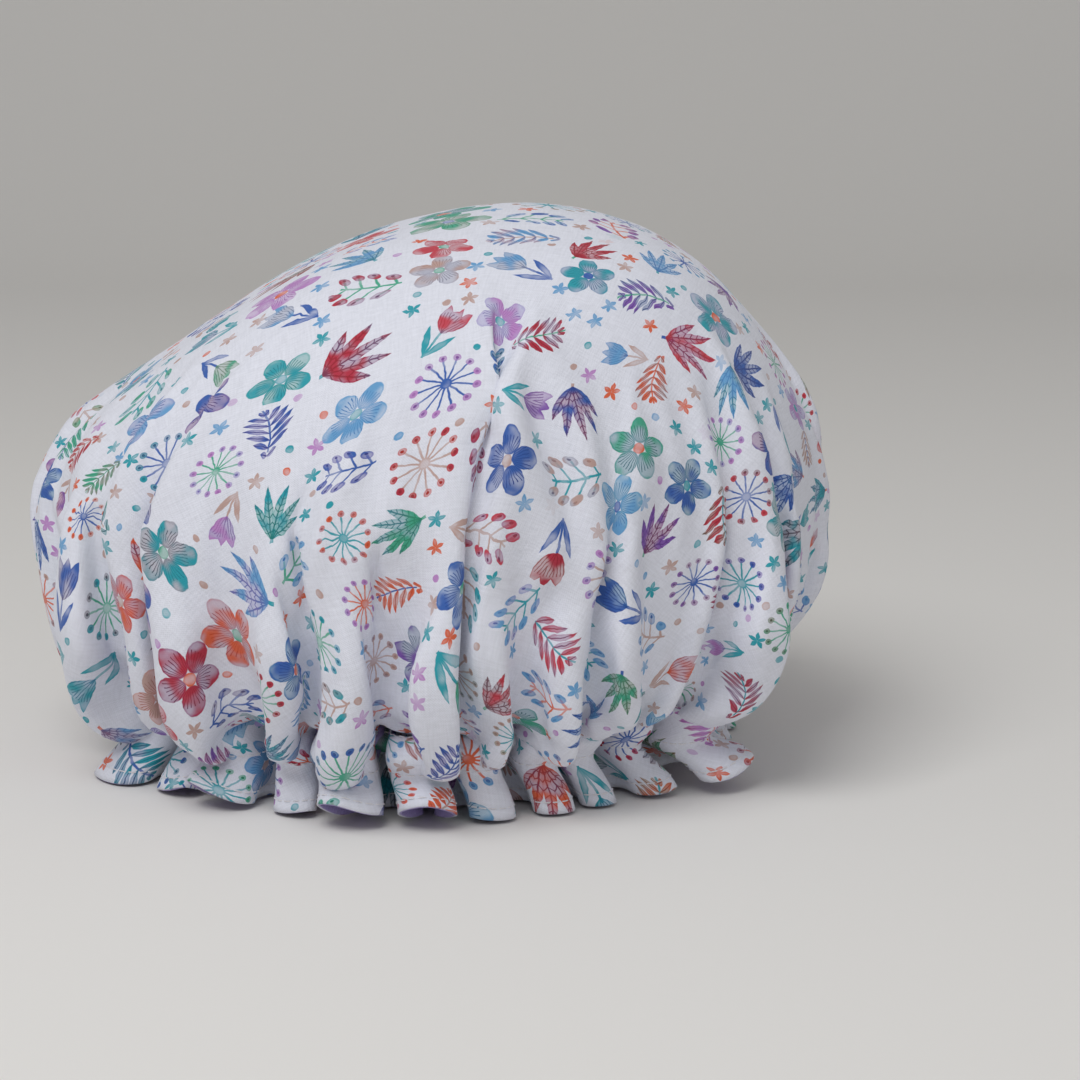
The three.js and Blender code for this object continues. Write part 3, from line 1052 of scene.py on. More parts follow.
@dataclass(frozen=True)
class SprigPrint:
    """A scattered watercolour print of sprigs, leaves, berries and small flowers.

    Sizes are in millimetres on the flat cut, and the numbers in a motif are shares of its own
    radius. Each motif fills the free circle round its own point, so that none is cut off by
    its neighbour.
    """

    pitch: float = 24.0
    scatter: float = 0.4
    spread: float = 1.16
    filler_pitch: float = 9.5
    filler_size: float = 3.2
    filler_clear: float = 0.9
    filler_petal: float = 0.24
    filler_dot: float = 0.42
    floret_share: float = 0.6
    outline_soft: float = 0.15
    stroke: float = 2.4
    wobble: float = 0.6
    wash: float = 7.0
    bleed: float = 0.45
    wash_ends: tuple[float, float] = (0.3, 0.7)
    wash_cover: float = 0.5
    pool_depth: tuple[float, float] = (0.1, 0.8)
    pool_cover: float = 0.22
    least_cover: float = 0.5
    line_cover: float = 0.75
    inks: tuple[Ink, ...] = (
        Ink.CRIMSON, Ink.SKY_BLUE, Ink.TURQUOISE, Ink.CORAL, Ink.ROYAL_BLUE, Ink.SKY_BLUE,
        Ink.SEA_GREEN, Ink.ORCHID, Ink.ROYAL_BLUE, Ink.ROSE_RED, Ink.TURQUOISE, Ink.VIOLET,
        Ink.TAUPE,
    )
    twig_inks: tuple[Ink, ...] = (
        Ink.SEA_GREEN, Ink.TAUPE, Ink.TURQUOISE, Ink.CORAL, Ink.ROYAL_BLUE,
    )
    filler_inks: tuple[Ink, ...] = (
        Ink.TURQUOISE, Ink.CORAL, Ink.SKY_BLUE, Ink.ORCHID, Ink.TURQUOISE, Ink.TAUPE,
    )

    def scattered(self, place: Socket, pitch: float) -> dict[str, object]:
        """Give the settings that scatter points over the cut at a pitch, seen from a place."""
        return {"Vector": place, "Scale": 1.0 / pitch, "Randomness": self.scatter}

    @staticmethod
    def motif_axes(
        place: Socket, middle: Socket, turn: Formula, size: Formula | float
    ) -> tuple[Formula, Formula]:
        """Give a place as seen from a motif: turned, and with its size as the unit.

        Args:
            place: the place on the cut.
            middle: the motif's middle on the cut.
            turn: the motif's turn as a share of a full one.
            size: the motif's radius.

        Returns:
            The place's two axes, the second along the motif.
        """
        tree, ends = turn.tree, {0: place, 1: middle}
        away = add_node(tree, "ShaderNodeVectorMath", {"operation": "SUBTRACT"}, ends).outputs[0]
        turned = add_node(
            tree,
            "ShaderNodeVectorRotate",
            {"rotation_type": "Z_AXIS"},
            {"Vector": away, "Angle": turn * FULL_TURN},
        )
        x, y, _ = Formula.split(tree, "ShaderNodeSeparateXYZ", turned.outputs[0])
        return x / size, y / size

    @staticmethod
    def leaf(along: Formula, across: Formula, length: Formula | float, width: float) -> Formula:
        """Give how deep inside a pointed leaf a place is, negative outside."""
        share = along / length
        return share * (1.0 - share) * (4.0 * width) - abs(across)

    @staticmethod
    def line(off: Formula, half_width: float) -> Formula:
        """Give how deep inside a drawn line a place is, from its distance off the line."""
        return half_width - abs(off)

    @staticmethod
    def between(value: Formula, low: float, high: float, depth: Formula) -> Formula:
        """Keep a shape only where a number lies between two ends."""
        return depth.math("MINIMUM", high - value).math("MINIMUM", value - low)

    @staticmethod
    def spokes(
        x: Formula, y: Formula, step: float, last: float | None = None
    ) -> tuple[Formula, Formula, Formula]:
        """Fold a place on to the nearest of some spokes.

        Args:
            x: place across the motif.
            y: place along the motif.
            step: angle between the spokes.
            last: number of the last spoke on each side, or None to go right round.

        Returns:
            The place along and across the nearest spoke, and the spoke's number.
        """
        angle = x.math("ARCTAN2", y)
        number = (angle / step).math("ROUND")
        if last is not None:
            number = number.math("MINIMUM", last).math("MAXIMUM", -last)
        off = angle - number * step
        reach = (x * x + y * y).math("SQRT")
        return reach * off.math("COSINE"), reach * off.math("SINE"), number

    def fern(self, x: Formula, y: Formula) -> tuple[Formula, Formula, Formula]:
        """Draw a fern: leaflets in pairs on a bowed stem.

        Args:
            x: place across the motif.
            y: place along the motif.

        Returns:
            How deep the place is in the leaflets, the stem and the veins.
        """
        pair_gap, slant = 0.27, 0.8
        side = x + y * y * 0.2 - 0.1
        rise = y - abs(side) * slant
        row = (rise / pair_gap).math("ROUND") * pair_gap
        level = (row + 0.3) / 0.95
        length = (1.0 - level * level) * 0.7
        leaves = self.leaf(abs(side), (rise - row) * slant, length.math("MAXIMUM", 0.02), 0.095)
        stem = self.between(y, -0.95, 0.75, self.line(side, 0.03))
        return leaves.math("MINIMUM", (length - 0.1) * 2.0), stem, self.line(rise - row, 0.02)

    def fan(self, x: Formula, y: Formula) -> tuple[Formula, Formula, Formula]:
        """Draw a fan of long leaves from one foot.

        Args:
            x: place across the motif.
            y: place along the motif.

        Returns:
            How deep the place is in the leaves, the foot and the veins.
        """
        rib_gap = 0.19
        along, across, number = self.spokes(x, y + 0.85, 0.36, 2.0)
        length = 1.75 - number * number * 0.13
        leaves = self.leaf(along, across, length, 0.15)
        foot = self.between(y, -0.98, -0.55, self.line(x, 0.05))
        ribs = (along * 0.9 - abs(across) * 0.8) / rib_gap
        veins = self.line(ribs - ribs.math("ROUND"), 0.09) * 0.2
        return leaves, foot, self.line(across, 0.022).math("MAXIMUM", veins)

    def blossom(self, x: Formula, y: Formula) -> tuple[Formula, Formula, Formula]:
        """Draw a blossom of five round petals.

        Args:
            x: place across the motif.
            y: place along the motif.

        Returns:
            How deep the place is in the petals, the middle and the streaks.
        """
        streak_gap = 0.16
        along, across, _ = self.spokes(x, y, FULL_TURN / 5)
        far, wide = (along - 0.56) / 0.4, across / 0.31
        petals = (1.0 - (far * far + wide * wide).math("SQRT")) * 0.3
        streaks = across / along.math("MAXIMUM", 0.1) / streak_gap
        lines = self.line(streaks - streaks.math("ROUND"), 0.12) * 0.2
        middle = 0.17 - (x * x + y * y).math("SQRT")
        return petals, middle, lines.math("MINIMUM", 0.68 - along)

    def berries(self, x: Formula, y: Formula) -> tuple[Formula, Formula, Formula]:
        """Draw a twig with berries in pairs.

        Args:
            x: place across the motif.
            y: place along the motif.

        Returns:
            How deep the place is in the berries, the twig and the berries' eyes.
        """
        pair_gap, berry, eye = 0.42, 0.14, 0.04
        side = x - y * y * 0.22 + 0.1
        rise = y - abs(side) * 0.75
        row = (rise / pair_gap).math("ROUND") * pair_gap
        level = (row + 0.25) / 1.05
        length = ((1.0 - level * level) * 0.5).math("MAXIMUM", 0.05)
        off, away = (rise - row) * 0.8, abs(side) - length
        inside = (row + 1.0).math("MINIMUM", 0.6 - row)
        berries = (berry - (away * away + off * off).math("SQRT")).math("MINIMUM", inside)
        stalks = self.line(off, 0.028).math("MINIMUM", away * -1.0).math("MINIMUM", inside)
        stem = self.between(y, -0.95, 0.6, self.line(side, 0.032))
        beyond = away - 0.05
        eyes = eye - (beyond * beyond + off * off).math("SQRT")
        return berries, stalks.math("MAXIMUM", stem), eyes

    def tulip(self, x: Formula, y: Formula) -> tuple[Formula, Formula, Formula]:
        """Draw a tulip with two leaves.

        Args:
            x: place across the motif.
            y: place along the motif.

        Returns:
            How deep the place is in the cup, the stem with its leaves and the cup's streaks.
        """
        streak_gap, tilt, side, low = 0.085, 0.42, abs(x), y + 0.95
        along, across, _ = self.spokes(x, y + 0.1, 0.36, 1.0)
        cup = self.leaf(along, across, 1.05, 0.2)
        leaf_along = low * math.cos(tilt) + side * math.sin(tilt)
        leaf_across = side * math.cos(tilt) - low * math.sin(tilt)
        leaves = self.leaf(leaf_along, leaf_across, 1.05, 0.1)
        stem = self.line(x, 0.035).math("MINIMUM", 0.05 - y).math("MINIMUM", low)
        streaks = across / streak_gap
        lines = self.line(streaks - streaks.math("ROUND"), 0.13) * streak_gap
        return cup, leaves.math("MAXIMUM", stem), lines.math("MINIMUM", 0.75 - along)

    def seed_head(self, x: Formula, y: Formula) -> tuple[Formula, Formula, Formula]:
        """Draw a round seed head.

        Args:
            x: place across the motif.
            y: place along the motif.

        Returns:
            How deep the place is in the seeds, the spokes and the seeds' cores.
        """
        along, across, _ = self.spokes(x, y, FULL_TURN / 13)
        away = along - 0.8
        seeds = 0.105 - (away * away + across * across).math("SQRT")
        rays = self.line(across, 0.026).math("MINIMUM", along - 0.1).math("MINIMUM", 0.78 - along)
        return seeds, rays.math("MAXIMUM", 0.15 - along), seeds - 0.06

    @staticmethod
    def pick_ink(chance: Formula, inks: Sequence[Ink]) -> Socket:
        """Pick one of some inks by chance.

        Args:
            chance: a number from 0 to 1.
            inks: the inks, each as likely as the others.

        Returns:
            The ink's colour.
        """
        picker = add_node(chance.tree, "ShaderNodeValToRGB", inputs={"Fac": chance})
        stops = picker.color_ramp.elements
        picker.color_ramp.interpolation = "CONSTANT"
        for k, ink in enumerate(inks):
            stop = stops[0] if k == 0 else stops.new(k / len(inks))
            stop.color = linear(ink.value)
        stops.remove(stops[-1])
        return picker.outputs["Color"]

    def inked(self, below: Socket, ink: Socket, depth: Formula, wash: Formula) -> Socket:
        """Lay a wash of ink over what is below it.

        Args:
            below: the colour so far.
            ink: the ink's colour.
            depth: how far inside the painted shape, in millimetres.
            wash: a slow noise from 0 to 1 that thins and thickens the paint.

        Returns:
            The colour with the wash, thicker along its edge as paint dries.
        """
        pooled = 1.0 - depth.ramp(*self.pool_depth)
        strength = wash * self.wash_cover + pooled * self.pool_cover + self.least_cover
        strength = strength.math("MINIMUM", 1.0)
        cover = depth.ramp(-self.outline_soft, self.outline_soft) * strength
        layers = {0: cover, 6: below, 7: ink}
        return add_node(depth.tree, "ShaderNodeMix", BLEND, layers).outputs[2]

    def paint(self, tree: Tree, place: Socket, ground: Socket) -> Socket:
        """Print the pattern on a ground.

        Args:
            tree: the node tree.
            place: the place on the flat cut, in millimetres.
            ground: the cloth's own colour, with the painted shade of its threads and slubs.

        Returns:
            The printed colour.
        """
        on_cut = {"Vector": place, "Detail": 1.0}
        brush, slow = (
            add_node(tree, "ShaderNodeTexNoise", FLAT_NOISE, on_cut | {"Scale": 1 / size})
            for size in (self.stroke, self.wash)
        )
        moved = {0: brush.outputs["Color"], 1: (self.wobble,) * 3, 2: place}
        shaky = add_node(tree, "ShaderNodeVectorMath", {"operation": "MULTIPLY_ADD"}, moved)
        shaky = shaky.outputs[0]
        wash = Formula(tree, slow.outputs["Fac"]).ramp(*self.wash_ends)
        colour = self._fillers(tree, place, shaky, ground, wash)
        points = self.scattered(place, self.pitch)
        near = add_node(tree, "ShaderNodeTexVoronoi", NEAREST, points).outputs
        room = add_node(tree, "ShaderNodeTexVoronoi", FREE_CIRCLE, points).outputs["Radius"]
        size = Formula(tree, room) * (self.pitch * self.spread)
        kind, turn, chance = Formula.split(tree, "ShaderNodeSeparateColor", near["Color"])
        x, y = self.motif_axes(shaky, near["Position"], turn, size)
        main, accent, lines = self._motif(kind, x, y, size)
        # A further chance number, mixed from two that the motif has
        second = (chance * 7.0 + kind * 3.0).math("FRACT")
        colour = self.inked(colour, self.pick_ink(second, self.twig_inks), accent, wash)
        inks = [self.pick_ink(number, self.inks) for number in (chance, second)]
        run = {0: (1.0 - wash) * self.bleed, 6: inks[0], 7: inks[1]}
        ink = add_node(tree, "ShaderNodeMix", BLEND, run).outputs[2]
        darker = {0: self.line_cover, 6: ink, 7: ink}
        deep = add_node(tree, "ShaderNodeMix", MULTIPLY, darker).outputs[2]
        colour = self.inked(colour, ink, main, wash)
        return self.inked(colour, deep, lines.math("MINIMUM", main), 1.0 - wash)

    def _motif(self, kind: Formula, x: Formula, y: Formula, size: Formula) -> list[Formula]:
        """Choose one of the motifs and draw it.

        Args:
            kind: a number from 0 to 1 that chooses.
            x: place across the motif.
            y: place along the motif.
            size: the motif's radius in millimetres.

        Returns:
            How deep the place is in its main part, its accent and its lines, in millimetres.
        """
        motifs = (self.fern, self.fan, self.blossom, self.berries, self.tulip, self.seed_head)
        number = (kind * float(len(motifs))).math("FLOOR")
        parts: list[Formula | None] = [None, None, None]
        for k, draw in enumerate(motifs):
            chosen = number.math("COMPARE", float(k), 0.5)
            for n, depth in enumerate(draw(x, y)):
                kept = (depth.math("MAXIMUM", -1.0) + 1.0) * chosen
                parts[n] = kept if parts[n] is None else parts[n] + kept
        return [(part - 1.0) * size for part in parts]

    def _fillers(
        self, tree: Tree, place: Socket, shaky: Socket, ground: Socket, wash: Formula
    ) -> Socket:
        """Print florets and dots where the large motifs leave room.

        Args:
            tree: the node tree.
            place: the place on the flat cut.
            shaky: the same place, moved a little by the brush.
            ground: the cloth's own colour, with the painted shade of its threads and slubs.
            wash: the paint's slow noise.

        Returns:
            The colour with the small motifs.
        """
        size, points = self.filler_size, self.scattered(place, self.filler_pitch)
        cell = add_node(tree, "ShaderNodeTexVoronoi", NEAREST, points).outputs
        large = self.scattered(cell["Position"], self.pitch)
        away = add_node(tree, "ShaderNodeTexVoronoi", NEAREST, large).outputs["Distance"]
        room = add_node(tree, "ShaderNodeTexVoronoi", FREE_CIRCLE, large).outputs["Radius"]
        taken = Formula(tree, room) * self.filler_clear
        free = (Formula(tree, away) - taken) * self.pitch - size
        kind, turn, chance = Formula.split(tree, "ShaderNodeSeparateColor", cell["Color"])
        x, y = self.motif_axes(shaky, cell["Position"], turn, size)
        along, across, _ = self.spokes(x, y, FULL_TURN / 5)
        floret = self.leaf(along, across, 1.0, self.filler_petal)
        dot = self.filler_dot - (x * x + y * y).math("SQRT")
        is_dot = kind.math("GREATER_THAN", self.floret_share)
        shape = floret * (1.0 - is_dot) + dot * is_dot
        depth = (shape * size).math("MINIMUM", free)
        return self.inked(ground, self.pick_ink(chance, self.filler_inks), depth, wash)


@dataclass(frozen=True)
class PrintedCotton:
    """Plain-woven cotton lawn, printed. It looks matt, white with a breath of lilac from the
    lining behind it, with fine threads that soften each highlight.

    Sizes and reliefs are in millimetres.
    """

    ground: str = "#E4E6F1"
    thread_spacing: float = 0.8  # lawn has about 0.3 mm; drawn coarser so that it shows
    thread_relief: float = 0.03
    # Painted shade: the threads' crossings lighter and the hollows between them darker
    thread_painted_shade: float = 0.04
    slub_size: tuple[float, float] = (6.0, 0.7)  # about 0.3 mm wide; drawn coarser so that it shows
    # Painted shade: the slubs lighter where they stand up and darker where they lie low
    slub_painted_shade: float = 0.13
    slub_relief: float = 0.08
    crease: float = 9.0
    crease_relief: float = 0.16
    seam_width: float = 1.1
    seam_relief: float = 0.22

    def slubs(self, tree: Tree, place: Socket) -> Formula:
        """Lay thicker stretches along the warp and the weft.

        Args:
            tree: the node tree.
            place: the place on the flat cut, in millimetres.

        Returns:
            The stretches' height round 0.
        """
        levels = []
        for length, width in (self.slub_size, self.slub_size[::-1]):
            stretch = {0: place, 1: (1 / length, 1 / width, 0.0)}
            scaled = add_node(tree, "ShaderNodeVectorMath", {"operation": "MULTIPLY"}, stretch)
            inputs = {"Vector": scaled.outputs[0], "Scale": 1.0, "Detail": 1.0}
            noise = add_node(tree, "ShaderNodeTexNoise", FLAT_NOISE, inputs)
            levels.append(Formula(tree, noise.outputs["Fac"]) - 0.5)
        return levels[0] + levels[1]

    def material(self, cut: CutCircle, pattern: SprigPrint) -> bpy.types.Material:
        """Make the cloth's material.

        Args:
            cut: the cloth's cut, for the place of its seams.
            pattern: the print.

        Returns:
            The material.
        """
        cloth = Surface(
            "printed_cotton_lawn_woven",
            {
                "Roughness": 0.82, "IOR": 1.5, "Specular IOR Level": 0.3,
                "Sheen Weight": 0.12, "Sheen Roughness": 0.5,
            },
        )
        tree, place = cloth.tree, cloth.flat_place(cut)
        x, y, _ = Formula.split(tree, "ShaderNodeSeparateXYZ", place)
        wave = FULL_TURN / self.thread_spacing
        weave = (x * wave).math("SINE") * (y * wave).math("SINE")
        slow = {"Vector": place, "Scale": 1 / self.crease, "Detail": 3.0}
        folds = add_node(tree, "ShaderNodeTexNoise", FLAT_NOISE, slow).outputs["Fac"]
        slubs = self.slubs(tree, place)
        off_seam = (x * x + y * y).math("SQRT") - cut.edge_stitch / MM
        off_seam = off_seam / self.seam_width
        seam = (off_seam * off_seam * -1.0).math("EXPONENT")
        height = weave * self.thread_relief + slubs * self.slub_relief
        height = height + Formula(tree, folds) * (2 * self.crease_relief) - seam * self.seam_relief
        # Painted shade: the ground is lighter on the raised threads and slubs and darker in the
        # hollows, in step with their relief
        painted_shade = weave * self.thread_painted_shade + slubs * self.slub_painted_shade + 1.0
        painted_shading = {0: 1.0, 6: linear(self.ground), 7: painted_shade}
        ground = add_node(tree, "ShaderNodeMix", MULTIPLY, painted_shading).outputs[2]
        return cloth.finished(pattern.paint(tree, place, ground), height)


@dataclass(frozen=True)
class LaminatedKnit:
    """Polyester knit with a polyurethane film, cut from the roll. The film gives a soft satin
    gleam over the fine columns of the knit.

    Sizes and reliefs are in millimetres.
    """

    colour: str = "#A99BD0"
    column: float = 1.2  # the knit has about 0.7 mm; drawn coarser so that it shows
    column_relief: float = 0.04
    # Painted shade: darker between the knit's columns, lighter on them
    column_painted_shade: float = 0.03
    loop_swing: float = 0.9
    crease: float = 8.0
    crease_relief: float = 0.2
    # Painted shade: darker in the low parts of the creases
    crease_painted_shade: float = 0.16
    base_shade: float = 0.92
    least_roughness: float = 0.38
    crease_roughness: float = 0.2

    def material(self, cut: CutCircle) -> bpy.types.Material:
        """Make the lining's material.

        Args:
            cut: the lining's cut.

        Returns:
            The material.
        """
        lining = Surface(
            "polyester_knit_film_laminated",
            {"IOR": 1.5, "Sheen Weight": 0.08, "Coat Weight": 0.12, "Coat Roughness": 0.35},
        )
        tree, place = lining.tree, lining.flat_place(cut)
        x, y, _ = Formula.split(tree, "ShaderNodeSeparateXYZ", place)
        wave = FULL_TURN / self.column
        columns = (x * wave + (y * wave).math("SINE") * self.loop_swing).math("SINE")
        inputs = {"Vector": place, "Scale": 1 / self.crease, "Detail": 3.0}
        noise = add_node(tree, "ShaderNodeTexNoise", FLAT_NOISE, inputs)
        slow = Formula(tree, noise.outputs["Fac"])
        height = columns * self.column_relief + slow * (2 * self.crease_relief)
        # Painted shade: the colour is darker between the knit's columns and in the creases'
        # hollows, in step with their relief
        painted_shade = columns * self.column_painted_shade + slow * self.crease_painted_shade + self.base_shade
        painted_shading = {0: 1.0, 6: linear(self.colour), 7: painted_shade}
        colour = add_node(tree, "ShaderNodeMix", MULTIPLY, painted_shading).outputs[2]
        roughness = slow * self.crease_roughness + self.least_roughness
        tree.links.new(roughness.socket, lining.shader.inputs["Roughness"])
        return lining.finished(colour, height)


@dataclass(frozen=True)
class SpunThread:
    """Polyester sewing thread, spun and plied. Its plies wind round it and catch small lights."""

    name: str
    colour: str
    plies: int = 2
    ply_length: float = 0.9  # about 0.5 mm on the spool; drawn coarser so that it shows
    ply_relief: float = 0.03
    # Painted shade: darker in the grooves between the plies
    ply_painted_shade: float = 0.06

    def material(self) -> bpy.types.Material:
        """Make the thread's material, with its plies along the thread's own UV map.

        Returns:
            The material.
        """
        thread = Surface(self.name, {"Roughness": 0.6, "IOR": 1.54, "Sheen Weight": 0.15})
        along, around = thread.thread_place()
        wound = along * (FULL_TURN / self.ply_length) + around * (FULL_TURN * self.plies)
        twist = wound.math("SINE")
        # Painted shade: lighter on the plies' crowns and darker in the grooves between them, in
        # step with their relief
        painted_shade = twist * self.ply_painted_shade + (1.0 - self.ply_painted_shade)
        painted_shading = {0: 1.0, 6: linear(self.colour), 7: painted_shade}
        colour = add_node(thread.tree, "ShaderNodeMix", MULTIPLY, painted_shading).outputs[2]
        return thread.finished(colour, twist * self.ply_relief)


@dataclass(frozen=True)
class WovenElastic:
    """Woven elastic: rubber cores under a white polyester weave, so it is ribbed and matt."""

    colour: str = "#EFEDE8"
    pick: float = 0.8
    pick_relief: float = 0.05
    # Painted shade: darker in the hollows between the picks
    pick_painted_shade: float = 0.05

    def material(self) -> bpy.types.Material:
        """Make the elastic's material, with its picks across the strip.

        Returns:
            The material.
        """
        strip = Surface(
            "woven_elastic_polyester", {"Roughness": 0.8, "IOR": 1.5, "Sheen Weight": 0.1}
        )
        wave = FULL_TURN / self.pick
        along, across = ((place * wave).math("SINE") for place in strip.thread_place())
        picks = along * across
        # Painted shade: lighter on the raised picks and darker in the hollows between them, in step
        # with their relief
        painted_shade = picks * self.pick_painted_shade + (1.0 - self.pick_painted_shade)
        painted_shading = {0: 1.0, 6: linear(self.colour), 7: painted_shade}
        colour = add_node(strip.tree, "ShaderNodeMix", MULTIPLY, painted_shading).outputs[2]
        return strip.finished(colour, picks * self.pick_relief)


# Pieces


class Side(Enum):
    """Side of the two layers that a row of stitches shows on."""

    PRINTED = "needle"
    LINING = "bobbin"


def hand_over(
    obj: bpy.types.Object, material: bpy.types.Material, slot: str, *nodes: str
) -> bpy.types.Object:
    """Dress a piece and give it to the frame.

    Args:
        obj: the piece.
        material: its material.
        slot: not used.
        nodes: the CAD nodes that it stands for.

    Returns:
        The piece.
    """
    obj.data.materials.append(material)
    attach(obj, "root")
    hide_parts(*nodes)
    LOG.info("%s: %d faces, for %s", obj.name, len(obj.data.polygons), ", ".join(nodes))
    return obj


@dataclass
class ClothLayers:
    """The printed circle and the lining circle behind it."""

    face: ClothSurface
    cloth: GatheredCircle
    outer_thickness: float = 0.0005
    lining_thickness: float = 0.0004
    between: float = 0.0003
    elastic_clear: float = 0.0025

    def lining_front(self) -> float:
        """Depth of the lining's outer side behind the printed face."""
        return self.outer_thickness + self.between

    def tunnel(self) -> np.ndarray:
        """Part the layers in the casing, so that the elastic lies between them.

        Returns:
            How far the lining moves inwards at every point.
        """
        even = 2.0 * self.cloth.puff_at(self.face.radius)
        beyond = np.hypot(*self.face.points[:, :2].T) - even - self.cloth.outline.opening
        more = soft_excess(beyond + self.elastic_clear, self.cloth.casing_bend)
        return even + self.cloth.in_casing(self.face.radius) * more

    def outer(self, finish: PrintedCotton, pattern: SprigPrint) -> bpy.types.Object:
        """Build the printed layer.

        Args:
            finish: the cloth's finish.
            pattern: its print.

        Returns:
            The layer.
        """
        back = self.face.behind(self.outer_thickness)
        obj = self.face.sheet("printed_outer_cloth", self.face.points, back)
        material = finish.material(self.cloth.cut, pattern)
        return hand_over(obj, material, "printed_cloth", "outer_shell")

    def lining(self, finish: LaminatedKnit) -> bpy.types.Object:
        """Build the lining.

        Args:
            finish: the lining's finish.

        Returns:
            The layer.
        """
        tunnel, depth = self.tunnel(), self.lining_front()
        front = self.face.behind(depth, tunnel)
        back = self.face.behind(depth + self.lining_thickness, tunnel)
        obj = self.face.sheet("lilac_lining", front, back)
        return hand_over(obj, finish.material(self.cloth.cut), "lining_cloth", "lining_shell")


@dataclass
class StitchRow:
    """One row of lockstitches as it shows on one side of the cloth."""

    name: str
    side: Side
    radius: float
    length: float = 0.0031
    thread: float = 0.0004
    shown: float = 0.82
    sunk: float = 0.00025
    sides: int = 6

    def build(self, layers: ClothLayers, thread: bpy.types.Material, slot: str) -> bpy.types.Object:
        """Lay the stitches along the row.

        Args:
            layers: the cloth that they hold.
            thread: the thread's material.
            slot: not used; only handed on to hand_over.

        Returns:
            The row as one piece.
        """
        face = layers.face
        count = round(FULL_TURN * self.radius / self.length)
        bow = np.array([-0.5, -0.42, -0.2, 0.0, 0.2, 0.42, 0.5])
        rise = np.array([-1.0, 0.0, 0.75, 1.0, 0.75, 0.0, -1.0])
        width = np.array([0.7, 0.95, 1.0, 1.0, 1.0, 0.95, 0.7])
        turn = (np.arange(count)[:, None] + bow * self.shown) / count * FULL_TURN
        places = np.stack([np.sin(turn), -np.cos(turn)], axis=-1).reshape(-1, 2) * self.radius
        known = np.hstack([face.points, face.normals])
        found = face.look_up(places, known).reshape(count, len(bow), 6)
        normal = found[:, 3:4, 3:]
        normal = normal / np.linalg.norm(normal, axis=-1, keepdims=True)
        if self.side is Side.LINING:
            depth = layers.lining_front() + layers.lining_thickness
            path, normal = found[..., :3] - depth * normal, -normal
        else:
            path = found[..., :3]
        path = path + normal * (rise * self.sunk)[None, :, None]
        ahead = path[:, -1:] - path[:, :1]
        ahead /= np.linalg.norm(ahead, axis=-1, keepdims=True)
        across = np.cross(ahead, normal)
        angle = np.arange(self.sides) / self.sides * FULL_TURN
        sideways = np.cos(angle)[:, None] * across[:, :, None]
        ring = sideways + np.sin(angle)[:, None] * normal[:, :, None]
        radius = (width * self.thread / 2)[None, :, None, None]
        points = (path[:, :, None] + ring * radius).reshape(-1, 3)
        name = f"{self.name}_{self.side.value}"
        obj = new_mesh_object(f"{name}_stitches", points, self._faces(count, len(bow)))
        shape = (count, len(bow), self.sides)
        along = np.broadcast_to((bow * self.length / MM)[None, :, None], shape)
        around = np.broadcast_to(angle / FULL_TURN, shape)
        write_map(obj.data, THREAD_MAP, np.stack([along, around], axis=-1).reshape(-1, 2))
        return hand_over(obj, thread, slot, f"{name}_thread")

    def _faces(self, count: int, steps: int) -> list[Face]:
        """Skin every stitch and close its ends.

        Args:
            count: how many stitches there are.
            steps: how many rings each has.

        Returns:
            Vertex numbers of each face.
        """
        one: list[Face] = []
        for k in range(steps - 1):
            for i in range(self.sides):
                j = (i + 1) % self.sides
                a, b = k * self.sides, (k + 1) * self.sides
                one.append((a + i, a + j, b + j, b + i))
        one.append(tuple(reversed(range(self.sides))))
        one.append(tuple((steps - 1) * self.sides + i for i in range(self.sides)))
        size = steps * self.sides
        return [tuple(n + k * size for n in f) for k in range(count) for f in one]


@dataclass
class Elastic:
    """The elastic in the casing, its ends lapped at the back and held by a zigzag."""

    width: float = 0.005
    thickness: float = 0.0005
    layer_gap: float = 0.0003
    lap: float = 0.020
    ribs: int = 5
    rib_steps: int = 8
    rib_relief: float = 0.00012
    steps: int = 360

    def build(self, finish: WovenElastic, thread: bpy.types.Material) -> list[bpy.types.Object]:
        """Build the strip and dress the CAD zigzag.

        Args:
            finish: the elastic's finish.
            thread: the zigzag's thread.

        Returns:
            The strip and the zigzag.
        """
        strip = hand_over(self._strip(), finish.material(), "woven_elastic", "elastic_strip")
        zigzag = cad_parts["elastic_lap_zigzag"]
        zigzag.data.materials.clear()
        zigzag.data.materials.append(thread)
        LOG.info("%s: CAD node, dressed", zigzag.name)
        return [strip, zigzag]

    def _strip(self) -> bpy.types.Object:
        """Wind the ribbed strip once round, with its ends one over the other.

        Returns:
            The strip, bare.
        """
        low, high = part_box("elastic_strip")
        middle = (low.z + high.z) / 2
        radius = (high.x - low.x) / 2 - self.thickness / 2
        lap_angle = self.lap / radius
        turned = np.linspace(0.0, FULL_TURN + lap_angle, self.steps)
        risen = np.minimum(1.0, turned / FULL_TURN) - 0.5
        lift = (self.thickness + self.layer_gap) * risen
        angle = math.pi / 2 - lap_angle / 2 + turned
        share = np.linspace(-0.5, 0.5, self.rib_steps * self.ribs + 1)
        groove = 0.5 + 0.5 * np.cos(share * FULL_TURN * self.ribs)
        rib = self.thickness / 2 - self.rib_relief * groove
        out = np.concatenate([rib, -rib[::-1]])
        up = np.concatenate([share, share[::-1]]) * self.width
        reach = radius + lift[:, None] + out[None, :]
        tall = np.broadcast_to(middle + up, reach.shape)
        level = [reach * np.cos(angle)[:, None], reach * np.sin(angle)[:, None]]
        points = np.stack([*level, tall], axis=-1)
        ring, last = len(out), (self.steps - 1) * len(out)
        faces: list[Face] = [tuple(range(ring)), tuple(reversed(range(last, last + ring)))]
        for a in range(0, last, ring):
            for i in range(ring):
                j = (i + 1) % ring
                faces.append((a + j, a + i, a + ring + i, a + ring + j))
        strip = new_mesh_object("ribbed_elastic", points.reshape(-1, 3), faces)
        along = np.repeat(turned * radius / MM, ring)
        places = np.column_stack([along, np.tile(up / MM, self.steps)])
        write_map(strip.data, THREAD_MAP, places)
        return strip


# Studio


